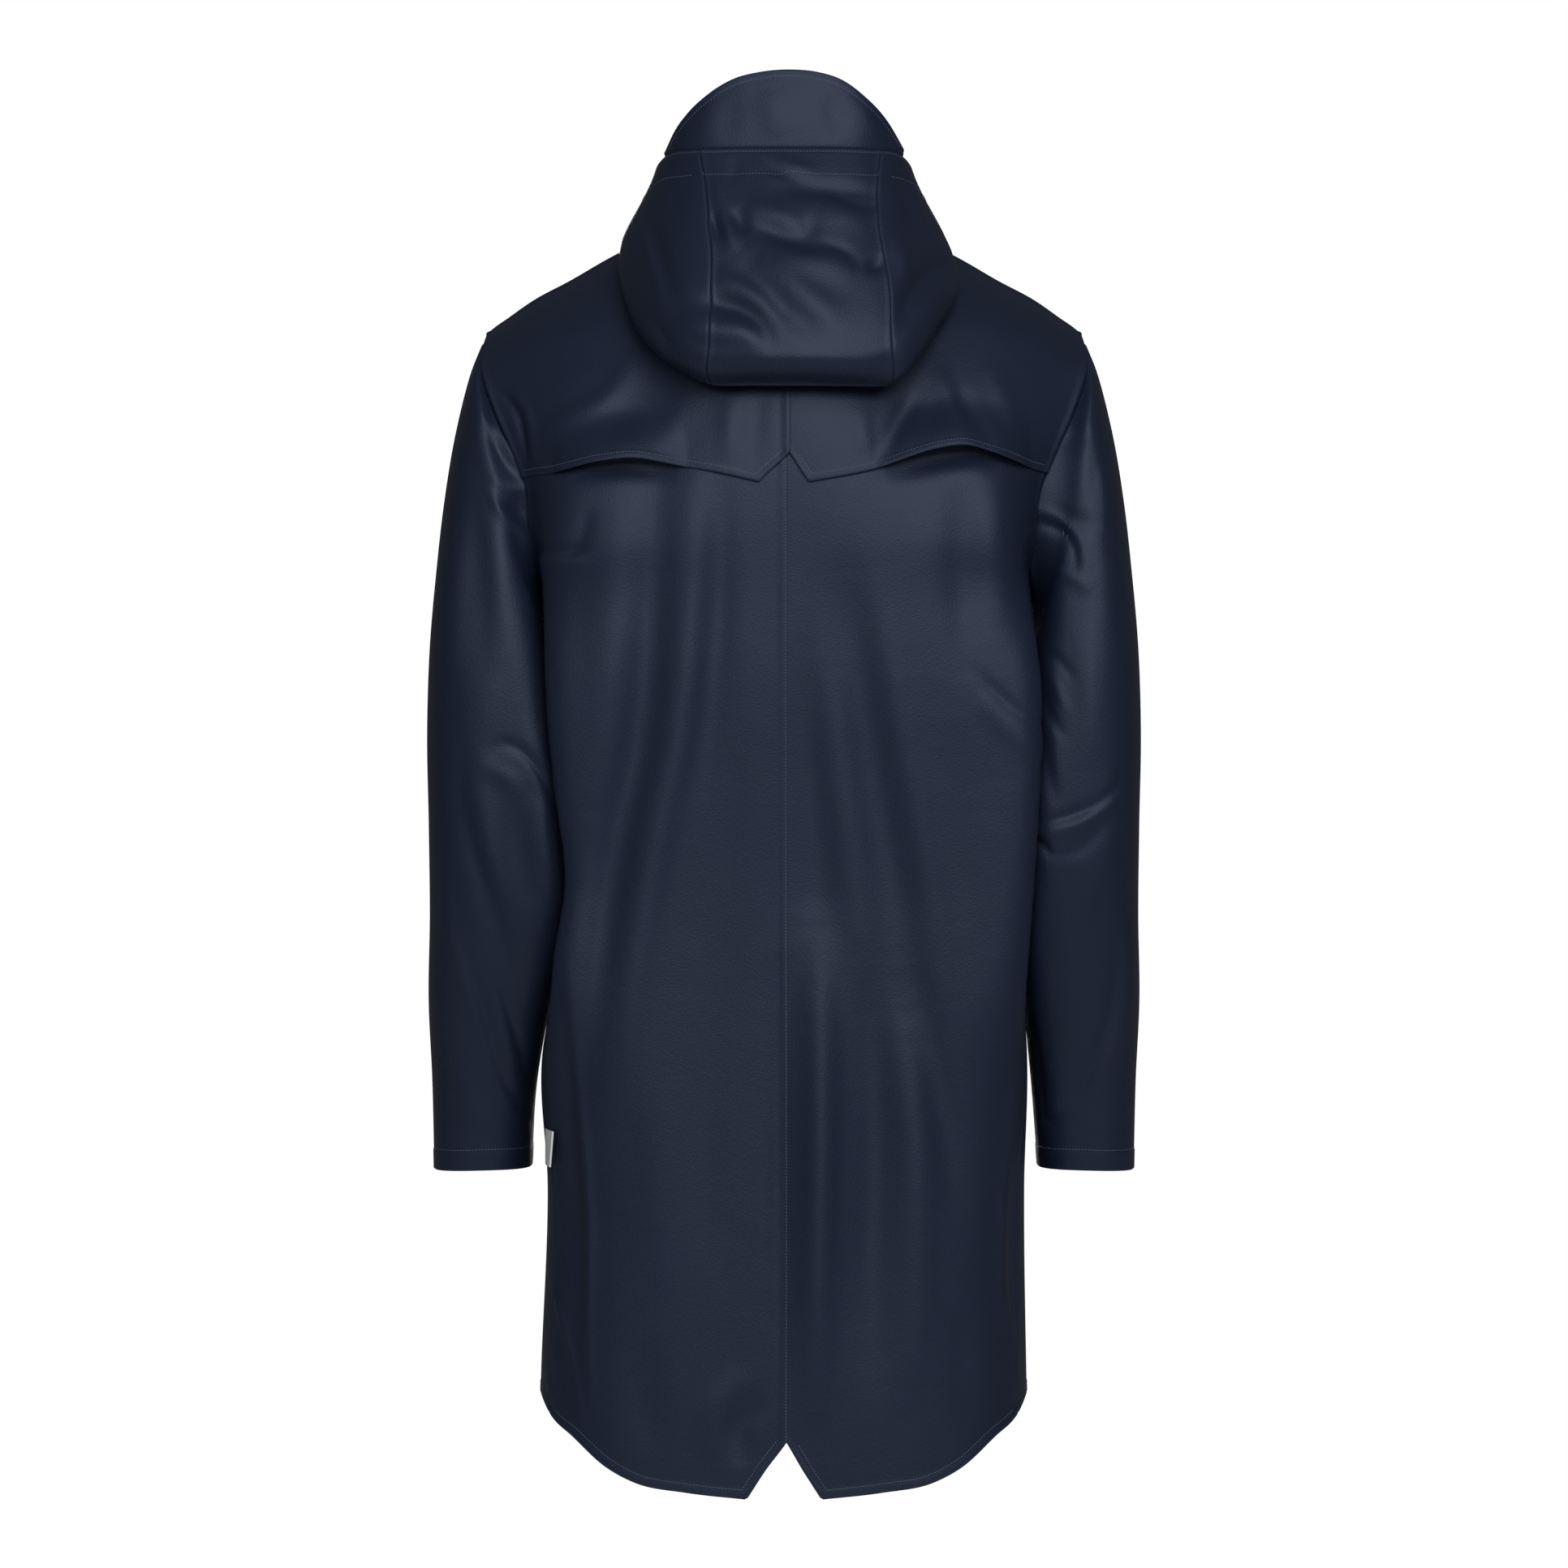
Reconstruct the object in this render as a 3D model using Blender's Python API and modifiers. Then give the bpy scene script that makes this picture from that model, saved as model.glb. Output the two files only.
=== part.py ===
# A long hooded raincoat, filled out as if worn but empty inside.
# Metres, +Z up. The coat faces -Y and the wearer's left is +X.
# The origin is the middle of the neck at the height of the back neck seam.
# Every cloth piece is an open grid of points on the coat's outer surface,
# made into a wall by Solidify. Neighbours share their seam curve and are each
# drawn back from it by half a seam gap.

import math
from collections import namedtuple

import bpy
import numpy as np
from mathutils import Vector

# ---- cloth ----
WALL = 0.0016                 # thickness of the coated cloth
FLAT_SEAM = 0.00032           # half gap where two pieces run on smoothly
BENT_SEAM = 0.00060           # half gap where the seam turns a corner
NECK_SEAM = 0.00140           # half gap where the shoulder seam starts, at the neck
TIP_SEAM = 0.00095            # and where it ends, at the sleeve
LAP = 0.0024                  # how far a piece that lies on another stands out
YOKE_TUCK = 0.15              # hidden part of the back panel, as a part of the armhole's height

# ---- how folds fade ----
FOLD_STEPS = 17               # points along a fold's line
FOLD_TIP = 0.06               # how much of the fading at its ends is cut short
FOLD_TAPER = 0.7              # lower is blunter
BODY_FOLD_CLEAR = 0.039       # no fold on the sides, this near the middle front to back
BODY_FOLD_FULL = 0.080        # full height from here on
BODY_PUSH_SIDEWAYS = 0.55     # sideways part of the way that body folds move the cloth
SLEEVE_FOLD_CLEAR = 0.006     # the same round a sleeve, from its outer and underarm sides
SLEEVE_FOLD_FULL = 0.040
SLEEVE_FRONT_SHARE = 0.5      # height of the folds on the front of a sleeve
SLEEVE_FRONT_Y = -0.10        # where the front's height is reached
YOKE_FOLD_SHARE = 0.9         # a trough may use this much of the flap's own lift
YOKE_LAP_START = 0.15         # the flap leaves the shoulder's surface from here
YOKE_LAP_FULL = 0.45          # to here, as parts of its height

# ---- neck and shoulders ----
NECK_HALF_WIDTH = 0.078
NECK_SIDE = Vector((NECK_HALF_WIDTH, -0.003, 0.018))
NECK_BACK_Y = 0.066
NECK_FRONT_Y = -0.085
NECK_FRONT_Z = -0.055
UNDERARM_Z = -0.272

# ---- front closure ----
PLACKET_LEFT = 0.032          # reach of the placket past the centre, each way
PLACKET_RIGHT = 0.024
PLACKET_INSET = 0.008         # its top edge starts this far below the neck seam
SNAP_RADIUS = 0.0075
SNAP_HEIGHT = 0.0022
SNAP_SIDES = 24
SNAP_TOP = -0.150
SNAP_PITCH = 0.138
SNAP_COUNT = 6
SNAP_GAP = 0.0008

# ---- side tab ----
TAB_TOP = -0.682
TAB_HEIGHT = 0.027
TAB_REACH = 0.013
TAB_WALL = 0.0010
TAB_GAP = 0.0008

# ---- grids: points across and down each piece ----
BACK_ACROSS = 13
FRONT_ACROSS = 12
BODY_DOWN = 23
ARM_DOWN = 9
YOKE_ACROSS = 15
YOKE_DOWN = 9
SLEEVE_ACROSS = 9
SLEEVE_DOWN = 25
HOOD_SIDE_ACROSS = 13
HOOD_CENTRE_ACROSS = 6        # from the panel seam to the nape
HOOD_OUTER_DOWN = 12
HOOD_UNDER_DOWN = 7
PLACKET_ACROSS = 5
VISOR_ACROSS = 8              # from one end to the middle
VISOR_DOWN = 4
NOTCH_SHARE = 0.110           # width of the hem's notch, as a part of a back panel
APEX_SHARE = 0.070            # width of the yoke's V, as a part of a yoke half
FINE = 160                    # points along a curve before it is respaced
NECK_STEPS = 40               # points along half the neck seam

# ---- colours ----
NAVY = (0.020, 0.030, 0.048, 1.0)
WHITE = (0.82, 0.82, 0.80, 1.0)
SNAP_COLOUR = (0.012, 0.016, 0.024, 1.0)
CLOTH_ROUGHNESS = 0.42
SNAP_ROUGHNESS = 0.35
TAB_ROUGHNESS = 0.70
COAT = "hooded_raincoat"

# Horizontal sections of the body from the underarm to the hem. Dent is how far
# the arm presses the side in, and seam_y is where the side seam runs.
Level = namedtuple("Level", "z left right back front square dent seam_y")
BODY = (
    Level(z=-0.272, left=0.1870, right=0.190, back=0.137, front=0.130, square=4.4, dent=0.002, seam_y=0.035),
    Level(z=-0.340, left=0.1820, right=0.199, back=0.137, front=0.130, square=5.8, dent=0.012, seam_y=0.042),
    Level(z=-0.420, left=0.1770, right=0.198, back=0.134, front=0.128, square=6.4, dent=0.015, seam_y=0.053),
    Level(z=-0.500, left=0.1715, right=0.194, back=0.132, front=0.127, square=6.4, dent=0.014, seam_y=0.065),
    Level(z=-0.560, left=0.1810, right=0.191, back=0.133, front=0.128, square=5.8, dent=0.012, seam_y=0.073),
    Level(z=-0.620, left=0.1865, right=0.188, back=0.135, front=0.130, square=5.0, dent=0.002, seam_y=0.080),
    Level(z=-0.730, left=0.1820, right=0.185, back=0.138, front=0.133, square=4.1, dent=0.0, seam_y=0.087),
    Level(z=-0.880, left=0.1875, right=0.187, back=0.143, front=0.136, square=3.8, dent=0.0, seam_y=0.090),
    Level(z=-0.975, left=0.1890, right=0.189, back=0.145, front=0.138, square=3.8, dent=0.0, seam_y=0.091),
)
DENT_Y = -0.002               # middle of the dent, front to back
DENT_REACH = 0.062            # how far it spreads to the front and back
HEM_Z = -0.940                # where the hem's width is read

# Back hem from the notch at the centre seam out to the side seam.
Hem = namedtuple("Hem", "x z")
BACK_HEM = (
    Hem(x=0.000, z=-0.9137),
    Hem(x=0.028, z=-0.9573),
    Hem(x=0.074, z=-0.9523),
    Hem(x=0.113, z=-0.9451),
    Hem(x=0.135, z=-0.9340),
    Hem(x=0.161, z=-0.9125),
    Hem(x=0.179, z=-0.8980),
    Hem(x=0.187, z=-0.8860),
)
FRONT_HEM = (
    Hem(x=0.000, z=-0.9000),
    Hem(x=0.080, z=-0.9020),
    Hem(x=0.150, z=-0.8950),
    Hem(x=0.187, z=-0.8860),
)

# Lower edge of the yoke flap: an upside-down V at the centre seam, and the
# raised stretch of each vent.
Edge = namedtuple("Edge", "x left right")
YOKE_EDGE = (
    Edge(x=0.000, left=-0.1690, right=-0.1690),
    Edge(x=0.019, left=-0.1923, right=-0.1923),
    Edge(x=0.060, left=-0.1834, right=-0.1848),
    Edge(x=0.090, left=-0.1795, right=-0.1768),
    Edge(x=0.112, left=-0.1779, right=-0.1720),
    Edge(x=0.137, left=-0.1800, right=-0.1694),
    Edge(x=0.163, left=-0.1836, right=-0.1750),
    Edge(x=0.195, left=-0.1855, right=-0.1815),
)

# The stretch of each yoke flap that stands off the back.
Vent = namedtuple("Vent", "x half_width lift climb")
VENTS = (
    Vent(x=0.122, half_width=0.046, lift=0.010, climb=0.050),
    Vent(x=-0.127, half_width=0.054, lift=0.012, climb=0.050),
)

Point = namedtuple("Point", "x y z")
SHOULDER = (
    Point(x=0.078, y=-0.003, z=0.0180),
    Point(x=0.138, y=0.000, z=-0.0125),
    Point(x=0.165, y=0.002, z=-0.0285),
    Point(x=0.193, y=0.002, z=-0.0435),
    Point(x=0.214, y=0.001, z=-0.0580),
    Point(x=0.226, y=0.000, z=-0.0665),
    Point(x=0.231, y=0.000, z=-0.0720),
)
ARMHOLE_BACK = (
    Point(x=0.231, y=0.000, z=-0.072),
    Point(x=0.233, y=0.030, z=-0.086),
    Point(x=0.231, y=0.052, z=-0.108),
    Point(x=0.220, y=0.068, z=-0.138),
    Point(x=0.206, y=0.077, z=-0.168),
    Point(x=0.195, y=0.080, z=-0.195),
    Point(x=0.190, y=0.074, z=-0.230),
    Point(x=0.187, y=0.056, z=-0.260),
)
ARMHOLE_FRONT = (
    Point(x=0.231, y=0.000, z=-0.072),
    Point(x=0.230, y=-0.028, z=-0.086),
    Point(x=0.225, y=-0.050, z=-0.110),
    Point(x=0.212, y=-0.066, z=-0.140),
    Point(x=0.199, y=-0.073, z=-0.170),
    Point(x=0.190, y=-0.074, z=-0.200),
    Point(x=0.186, y=-0.062, z=-0.238),
    Point(x=0.185, y=-0.030, z=-0.262),
)
CENTRE_BACK = (
    Point(x=0.0, y=0.066, z=0.000),
    Point(x=0.0, y=0.092, z=-0.030),
    Point(x=0.0, y=0.107, z=-0.060),
    Point(x=0.0, y=0.121, z=-0.100),
    Point(x=0.0, y=0.131, z=-0.150),
    Point(x=0.0, y=0.136, z=-0.210),
    Point(x=0.0, y=0.137, z=-0.272),
)
CENTRE_FRONT = (
    Point(x=0.0, y=-0.0850, z=-0.055),
    Point(x=0.0, y=-0.1065, z=-0.085),
    Point(x=0.0, y=-0.1235, z=-0.130),
    Point(x=0.0, y=-0.1325, z=-0.185),
    Point(x=0.0, y=-0.1325, z=-0.225),
    Point(x=0.0, y=-0.1300, z=-0.272),
)

# Rings of a sleeve below the armhole, from the outer side to the underarm
# side. Depth is half the ring's front-to-back size and mid its middle's y.
Ring = namedtuple("Ring", "outer outer_z inner_left inner_right inner_z depth mid")
SLEEVE = (
    Ring(0.242, -0.104, 0.1840, 0.1928, -0.292, 0.079, 0.002),
    Ring(0.253, -0.150, 0.1785, 0.1912, -0.318, 0.080, 0.003),
    Ring(0.261, -0.200, 0.1735, 0.1905, -0.348, 0.079, 0.004),
    Ring(0.267, -0.255, 0.1695, 0.1895, -0.382, 0.078, 0.004),
    Ring(0.272, -0.315, 0.1660, 0.1870, -0.418, 0.076, 0.003),
    Ring(0.274, -0.380, 0.1640, 0.1855, -0.456, 0.074, 0.002),
    Ring(0.273, -0.450, 0.1620, 0.1840, -0.500, 0.072, 0.000),
    Ring(0.273, -0.520, 0.1705, 0.1830, -0.548, 0.070, -0.005),
    Ring(0.275, -0.585, 0.1840, 0.1880, -0.598, 0.066, -0.013),
    Ring(0.273, -0.650, 0.1930, 0.1930, -0.655, 0.060, -0.023),
    Ring(0.272, -0.719, 0.1970, 0.1980, -0.717, 0.056, -0.030),
)
SLEEVE_SQUARE = 2.7
OUTER_SEAM_TURN = 0.03        # the outer seam, as a part of the whole ring
SLEEVE_START = 0.0014         # the sleeve's head stands this far off the armhole

# Sections of the hood, from the throat (turn 0) round to the nape (turn 180).
# Each runs from the opening's edge out and down to the fold that hangs on the
# shoulders and back, then under it to the neck seam.
Section = namedtuple("Section", "turn edge_x edge_y edge_z left_x left_z right_x right_z fold_y swell roll")
HOOD = (
    Section(0, 0.0010, -0.104, -0.004, 0.0010, -0.0470, 0.0010, -0.0470, -0.0985, 0.006, 0.004),
    Section(25, 0.045, -0.094, 0.002, 0.048, -0.0360, 0.048, -0.0360, -0.0960, 0.008, 0.005),
    Section(50, 0.082, -0.064, 0.014, 0.087, -0.0110, 0.087, -0.0110, -0.0660, 0.012, 0.007),
    Section(75, 0.095, -0.020, 0.030, 0.110, 0.0075, 0.110, 0.0075, -0.0190, 0.008, 0.008),
    Section(98, 0.100, 0.022, 0.046, 0.120, 0.0010, 0.120, 0.0010, 0.0270, 0.009, 0.011),
    Section(118, 0.096, 0.054, 0.057, 0.127, -0.0270, 0.129, -0.0290, 0.0640, 0.015, 0.016),
    Section(134, 0.085, 0.075, 0.063, 0.1225, -0.0580, 0.121, -0.0550, 0.0930, 0.031, 0.020),
    Section(148, 0.070, 0.089, 0.063, 0.1095, -0.0880, 0.102, -0.0800, 0.1200, 0.042, 0.024),
    Section(158, 0.0535, 0.0965, 0.063, 0.0925, -0.1065, 0.0865, -0.1030, 0.1360, 0.0475, 0.0265),
    Section(166, 0.036, 0.0995, 0.063, 0.0675, -0.1215, 0.0675, -0.1215, 0.1430, 0.050, 0.028),
    Section(173, 0.018, 0.1005, 0.063, 0.034, -0.1232, 0.034, -0.1232, 0.1455, 0.0515, 0.0295),
    Section(180, 0.000, 0.101, 0.063, 0.000, -0.1235, 0.000, -0.1235, 0.1465, 0.052, 0.030),
)
# Turns of the two seams beside the centre panel: share 0 is the opening's edge,
# 1 the fold and 2 the neck.
Seam = namedtuple("Seam", "share left right")
HOOD_SEAM = (
    Seam(share=0.00, left=151.5, right=144.5),
    Seam(share=0.18, left=160.5, right=153.5),
    Seam(share=0.36, left=165.8, right=159.2),
    Seam(share=0.60, left=168.0, right=164.0),
    Seam(share=0.80, left=168.3, right=167.0),
    Seam(share=1.00, left=166.0, right=166.0),
    Seam(share=1.40, left=164.0, right=164.0),
    Seam(share=2.00, left=158.0, right=158.0),
)
HOOD_LEAN = 0.10              # shift to the wearer's right for each metre below the neck
LEAN_START_Y = -0.09          # the shift begins here
LEAN_FULL_Y = 0.03            # and is whole from here back
EDGE_SWELL = 0.9              # shares of swell, height and roll that shape a section's curves
EDGE_DROP = 0.24
FOLD_SWELL = 0.8
FOLD_DROP = 0.02
FOLD_ROLL = 0.4
NECK_ROLL = 1.3
NECK_RISE = 0.0014            # the hood's neck edge lies this far above the coat's
VISOR_TURN = 126              # where the visor's ends meet the opening
VISOR_LEAN = -0.006           # how far the visor's brim leans over the neck
VISOR_END = 0.003             # least height of the visor, at its ends

Brim = namedtuple("Brim", "x z")
VISOR_BRIM = (
    Brim(x=0.0910, z=0.0640),
    Brim(x=0.0834, z=0.0790),
    Brim(x=0.0733, z=0.0919),
    Brim(x=0.0584, z=0.1048),
    Brim(x=0.0385, z=0.1164),
    Brim(x=0.0188, z=0.1214),
    Brim(x=-0.0060, z=0.1233),
    Brim(x=-0.0256, z=0.1215),
    Brim(x=-0.0454, z=0.1151),
    Brim(x=-0.0651, z=0.1002),
    Brim(x=-0.0802, z=0.0841),
    Brim(x=-0.0930, z=0.0640),
)

# Folds: a soft trough (negative height) or ridge along a bent line.
Fold = namedtuple("Fold", "x0 z0 x1 z1 x2 z2 width height")
BACK_FOLDS = (
    Fold(0.088, -0.300, 0.096, -0.450, 0.139, -0.610, 0.016, -0.0065),
    Fold(0.060, -0.240, 0.072, -0.400, 0.108, -0.590, 0.017, 0.0050),
    Fold(-0.040, -0.360, -0.083, -0.540, -0.128, -0.730, 0.018, -0.0075),
    Fold(-0.009, -0.440, -0.028, -0.640, -0.009, -0.870, 0.014, -0.0060),
    Fold(-0.026, -0.480, -0.047, -0.600, -0.040, -0.800, 0.016, 0.0045),
    Fold(-0.143, -0.190, -0.150, -0.260, -0.154, -0.330, 0.016, -0.0055),
    Fold(0.166, -0.540, 0.151, -0.720, 0.149, -0.880, 0.011, 0.0060),
    Fold(-0.178, -0.640, -0.163, -0.750, -0.176, -0.860, 0.011, 0.0060),
    Fold(0.118, -0.700, 0.104, -0.800, 0.100, -0.930, 0.020, -0.0040),
    Fold(-0.090, -0.760, -0.086, -0.860, -0.070, -0.945, 0.022, -0.0040),
)
YOKE_FOLDS = (
    Fold(0.092, -0.118, 0.128, -0.145, 0.160, -0.172, 0.014, -0.0050),
    Fold(0.021, -0.125, 0.021, -0.150, 0.022, -0.178, 0.012, -0.0035),
    Fold(-0.100, -0.125, -0.088, -0.145, -0.076, -0.166, 0.012, -0.0045),
    Fold(-0.136, -0.092, -0.128, -0.120, -0.115, -0.150, 0.013, 0.0040),
    Fold(-0.134, -0.130, -0.142, -0.146, -0.148, -0.164, 0.011, -0.0045),
)
FRONT_FOLDS = (
    Fold(0.075, -0.240, 0.088, -0.420, 0.122, -0.600, 0.018, -0.0060),
    Fold(-0.080, -0.260, -0.090, -0.440, -0.120, -0.640, 0.018, -0.0065),
    Fold(0.120, -0.560, 0.112, -0.720, 0.118, -0.880, 0.016, 0.0050),
    Fold(-0.126, -0.600, -0.116, -0.740, -0.122, -0.880, 0.016, 0.0050),
    Fold(0.060, -0.620, 0.066, -0.760, 0.060, -0.890, 0.020, -0.0045),
    Fold(-0.062, -0.660, -0.058, -0.780, -0.066, -0.890, 0.020, -0.0040),
)
SLEEVE_FOLDS = (
    Fold(0.224, -0.180, 0.208, -0.215, 0.188, -0.242, 0.013, -0.0055),
    Fold(0.261, -0.450, 0.249, -0.550, 0.226, -0.640, 0.012, 0.0045),
    Fold(0.244, -0.400, 0.228, -0.490, 0.204, -0.590, 0.013, -0.0055),
    Fold(0.242, -0.580, 0.226, -0.630, 0.198, -0.690, 0.011, -0.0055),
    Fold(-0.190, -0.460, -0.226, -0.430, -0.262, -0.412, 0.013, 0.0055),
    Fold(-0.192, -0.490, -0.226, -0.462, -0.262, -0.446, 0.013, -0.0055),
    Fold(-0.261, -0.540, -0.250, -0.630, -0.206, -0.692, 0.012, -0.0065),
    Fold(-0.200, -0.215, -0.222, -0.200, -0.236, -0.235, 0.014, -0.0050),
)


# ---- curves ----
def column(rows, name):
    return np.array([getattr(row, name) for row in rows], dtype=float)


def smooth(places, keys, values):
    """Cubic curve through (key, value) pairs, keys rising or falling."""
    keys = np.asarray(keys, dtype=float)
    values = np.asarray(values, dtype=float)
    if keys[0] > keys[-1]:
        keys = keys[::-1]
        values = values[::-1]
    slopes = np.gradient(values, keys, axis=0)
    places = np.clip(places, keys[0], keys[-1])
    low = np.clip(np.searchsorted(keys, places) - 1, 0, len(keys) - 2)
    step = keys[low + 1] - keys[low]
    t = (places - keys[low]) / step
    return ((1 + 2 * t) * (1 - t) ** 2 * values[low] + t * (1 - t) ** 2 * step * slopes[low]
            + t * t * (3 - 2 * t) * values[low + 1] + t * t * (t - 1) * step * slopes[low + 1])


def fade(value, start, end):
    """Smooth step from 0 at start to 1 at end."""
    t = np.clip((value - start) / (end - start), 0.0, 1.0)
    return t * t * (3 - 2 * t)


def respace(points, fractions):
    """Points at these fractions of a polyline's length."""
    lengths = np.linalg.norm(np.diff(points, axis=0), axis=1)
    along = np.concatenate(([0.0], np.cumsum(lengths)))
    along /= along[-1]
    return np.stack([np.interp(fractions, along, points[:, axis]) for axis in range(3)], axis=1)


def curve(rows, last=None):
    """Dense smooth curve through a table of points."""
    knots = np.array([(row.x, row.y, row.z) for row in rows])
    if last is not None:
        knots = np.vstack((knots, last))
    chords = np.concatenate(([0.0], np.cumsum(np.linalg.norm(np.diff(knots, axis=0), axis=1))))
    places = np.linspace(0.0, chords[-1], FINE)
    return np.stack([smooth(places, chords, knots[:, axis]) for axis in range(3)], axis=1)


def mirrored(points, side):
    return points * np.array([side, 1.0, 1.0])


# ---- folds ----
def fold_height(folds, x, z):
    """Sum of the folds' heights at x, z."""
    total = np.zeros_like(x)
    steps = np.linspace(0.0, 1.0, FOLD_STEPS)
    for fold in folds:
        line_x = (1 - steps) ** 2 * fold.x0 + 2 * steps * (1 - steps) * fold.x1 + steps ** 2 * fold.x2
        line_z = (1 - steps) ** 2 * fold.z0 + 2 * steps * (1 - steps) * fold.z1 + steps ** 2 * fold.z2
        distance = (x[..., None] - line_x) ** 2 + (z[..., None] - line_z) ** 2
        nearest = distance.argmin(axis=-1)
        taper = np.sin(math.pi * (FOLD_TIP + (1 - 2 * FOLD_TIP) * steps[nearest])) ** FOLD_TAPER
        total += fold.height * taper * np.exp(-distance.min(axis=-1) / fold.width ** 2)
    return total


def grid_normals(points, hint):
    """Unit normals of a grid of points, turned to the side that hint points to."""
    across = np.gradient(points, axis=1)
    down = np.gradient(points, axis=0)
    normals = np.cross(across, down)
    normals /= np.maximum(np.linalg.norm(normals, axis=2, keepdims=True), 1e-9)
    turn = np.sign(np.sum(normals * hint, axis=2).mean())
    return normals * turn


# ---- body ----
def quarter(side, z, front):
    """Dense quarter of the body's section at height z, from the centre to the side."""
    level = {name: smooth(z, column(BODY, "z"), column(BODY, name)) for name in BODY[0]._fields[1:]}
    width = level["left"] if side > 0 else level["right"]
    depth = level["front"] if front else level["back"]
    power = 2.0 / level["square"]
    turn = np.linspace(0.0, math.pi / 2, FINE)
    y = depth * np.cos(turn) ** power
    x = width * np.sin(turn) ** power
    distance = (y if not front else -y) - DENT_Y
    x = side * (x - level["dent"] * np.exp(-(distance / DENT_REACH) ** 2))
    return x, y, level["seam_y"]


def section(side, z, front):
    """The stretch of the section that a piece covers, from the centre to the side seam."""
    x, y, seam_y = quarter(side, z, False)
    seam_x = np.interp(-seam_y, -y, x)
    if front:
        front_x, front_y, seam_y = quarter(side, z, True)
        beyond = y < seam_y
        x = np.concatenate((front_x[:-1], x[beyond][::-1], [seam_x]))
        y = np.concatenate((-front_y[:-1], y[beyond][::-1], [seam_y]))
    else:
        keep = y > seam_y
        x = np.append(x[keep], seam_x)
        y = np.append(y[keep], seam_y)
    return np.stack((x, y, np.full_like(x, z)), axis=1)


def body_rows(side, front, fractions, drops):
    """Grid of the body below the underarm: one row for each drop from 0 to 1."""
    hem_line = respace(section(side, HEM_Z, front), fractions)
    front_z, back_z = (np.interp(np.abs(hem_line[:, 0]), column(hem, "x"), column(hem, "z"))
                       for hem in (FRONT_HEM, BACK_HEM))
    hem_z = np.where(hem_line[:, 1] > 0, back_z, front_z)
    rows = []
    for drop in drops:
        heights = UNDERARM_Z + (hem_z - UNDERARM_Z) * drop
        row = [respace(section(side, z, front), [share])[0] for z, share in zip(heights, fractions)]
        rows.append(row)
    return np.array(rows)


def underarm_point(side):
    return section(side, UNDERARM_Z, False)[-1]


def neckline(turn):
    """Neck seam at a turn in degrees, 0 at the throat and 180 at the nape."""
    angle = np.radians(turn)
    swing = -np.cos(angle)
    reach = np.where(swing > 0, NECK_BACK_Y - NECK_SIDE.y, NECK_SIDE.y - NECK_FRONT_Y)
    rise = np.where(swing > 0, 0.0, NECK_FRONT_Z)
    x = NECK_HALF_WIDTH * np.sin(angle)
    y = NECK_SIDE.y + reach * swing
    z = NECK_SIDE.z + (rise - NECK_SIDE.z) * swing ** 2
    return np.stack((x, y, z), axis=-1)


def top_edge(front):
    """Half neckline from the centre, then the shoulder seam to its tip."""
    turns = np.linspace(0.0 if front else 180.0, 90.0, NECK_STEPS)
    return np.vstack((neckline(turns), curve(SHOULDER)[1:]))


def patch(side, front, fractions, drops):
    """Smooth patch above the underarm, filled in between its four edges."""
    tip = mirrored(underarm_point(side), side)
    centre = CENTRE_FRONT if front else CENTRE_BACK
    armhole = ARMHOLE_FRONT if front else ARMHOLE_BACK
    upper = top_edge(front)
    lower = mirrored(section(side, UNDERARM_Z, front), side)
    top = respace(upper, fractions)[None, :, :]
    base = respace(lower, fractions)[None, :, :]
    left = respace(curve(centre), drops)[:, None, :]
    right = respace(curve(armhole, tip), drops)[:, None, :]
    across = np.asarray(fractions)[None, :, None]
    down = np.asarray(drops)[:, None, None]
    corners = ((1 - across) * (1 - down) * upper[0] + across * (1 - down) * upper[-1]
               + (1 - across) * down * lower[0] + across * down * lower[-1])
    grid = (1 - down) * top + down * base + (1 - across) * left + across * right - corners
    return mirrored(grid, side)


def push_body(grid):
    """Move a body grid out by its folds, which die away towards the sides."""
    outward = grid * np.array([BODY_PUSH_SIDEWAYS, 1.0, 0.0])
    outward /= np.maximum(np.linalg.norm(outward, axis=2, keepdims=True), 1e-9)
    x = grid[..., 0]
    z = grid[..., 2]
    height = np.where(grid[..., 1] > 0, fold_height(BACK_FOLDS, x, z), fold_height(FRONT_FOLDS, x, z))
    height *= fade(np.abs(grid[..., 1]), BODY_FOLD_CLEAR, BODY_FOLD_FULL)
    return grid + outward * height[..., None]


def yoke_edge_drop(side, fractions):
    """How far down the patch the yoke flap's lower edge lies in each column."""
    drops = np.linspace(0.0, 1.0, FINE)
    grid = patch(side, False, fractions, drops)
    name = "left" if side > 0 else "right"
    edge = np.interp(np.abs(grid[..., 0]), column(YOKE_EDGE, "x"), column(YOKE_EDGE, name))
    above = grid[..., 2] - edge
    return np.array([np.interp(0.0, -above[:, k], drops) for k in range(len(fractions))])


def graded(first, count):
    """Fractions across a panel: 0, a first narrow column, then even ones."""
    return np.concatenate(([0.0], np.linspace(first, 1.0, count - 1)))


def back_grid(side):
    fractions = graded(NOTCH_SHARE, BACK_ACROSS)
    edge = yoke_edge_drop(side, fractions)
    start = edge - YOKE_TUCK
    rows = []
    for share in np.linspace(0.0, 1.0, ARM_DOWN)[:-1]:
        drops = start + (1.0 - start) * share
        row = [patch(side, False, [f], [d])[0, 0] for f, d in zip(fractions, drops)]
        rows.append(row)
    lower = body_rows(side, False, fractions, np.linspace(0.0, 1.0, BODY_DOWN))
    return push_body(np.vstack((np.array(rows), lower)))


def front_grid(side):
    fractions = np.linspace(0.0, 1.0, FRONT_ACROSS)
    upper = patch(side, True, fractions, np.linspace(0.0, 1.0, ARM_DOWN)[:-1])
    lower = body_rows(side, True, fractions, np.linspace(0.0, 1.0, BODY_DOWN))
    return push_body(np.vstack((upper, lower)))


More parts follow.
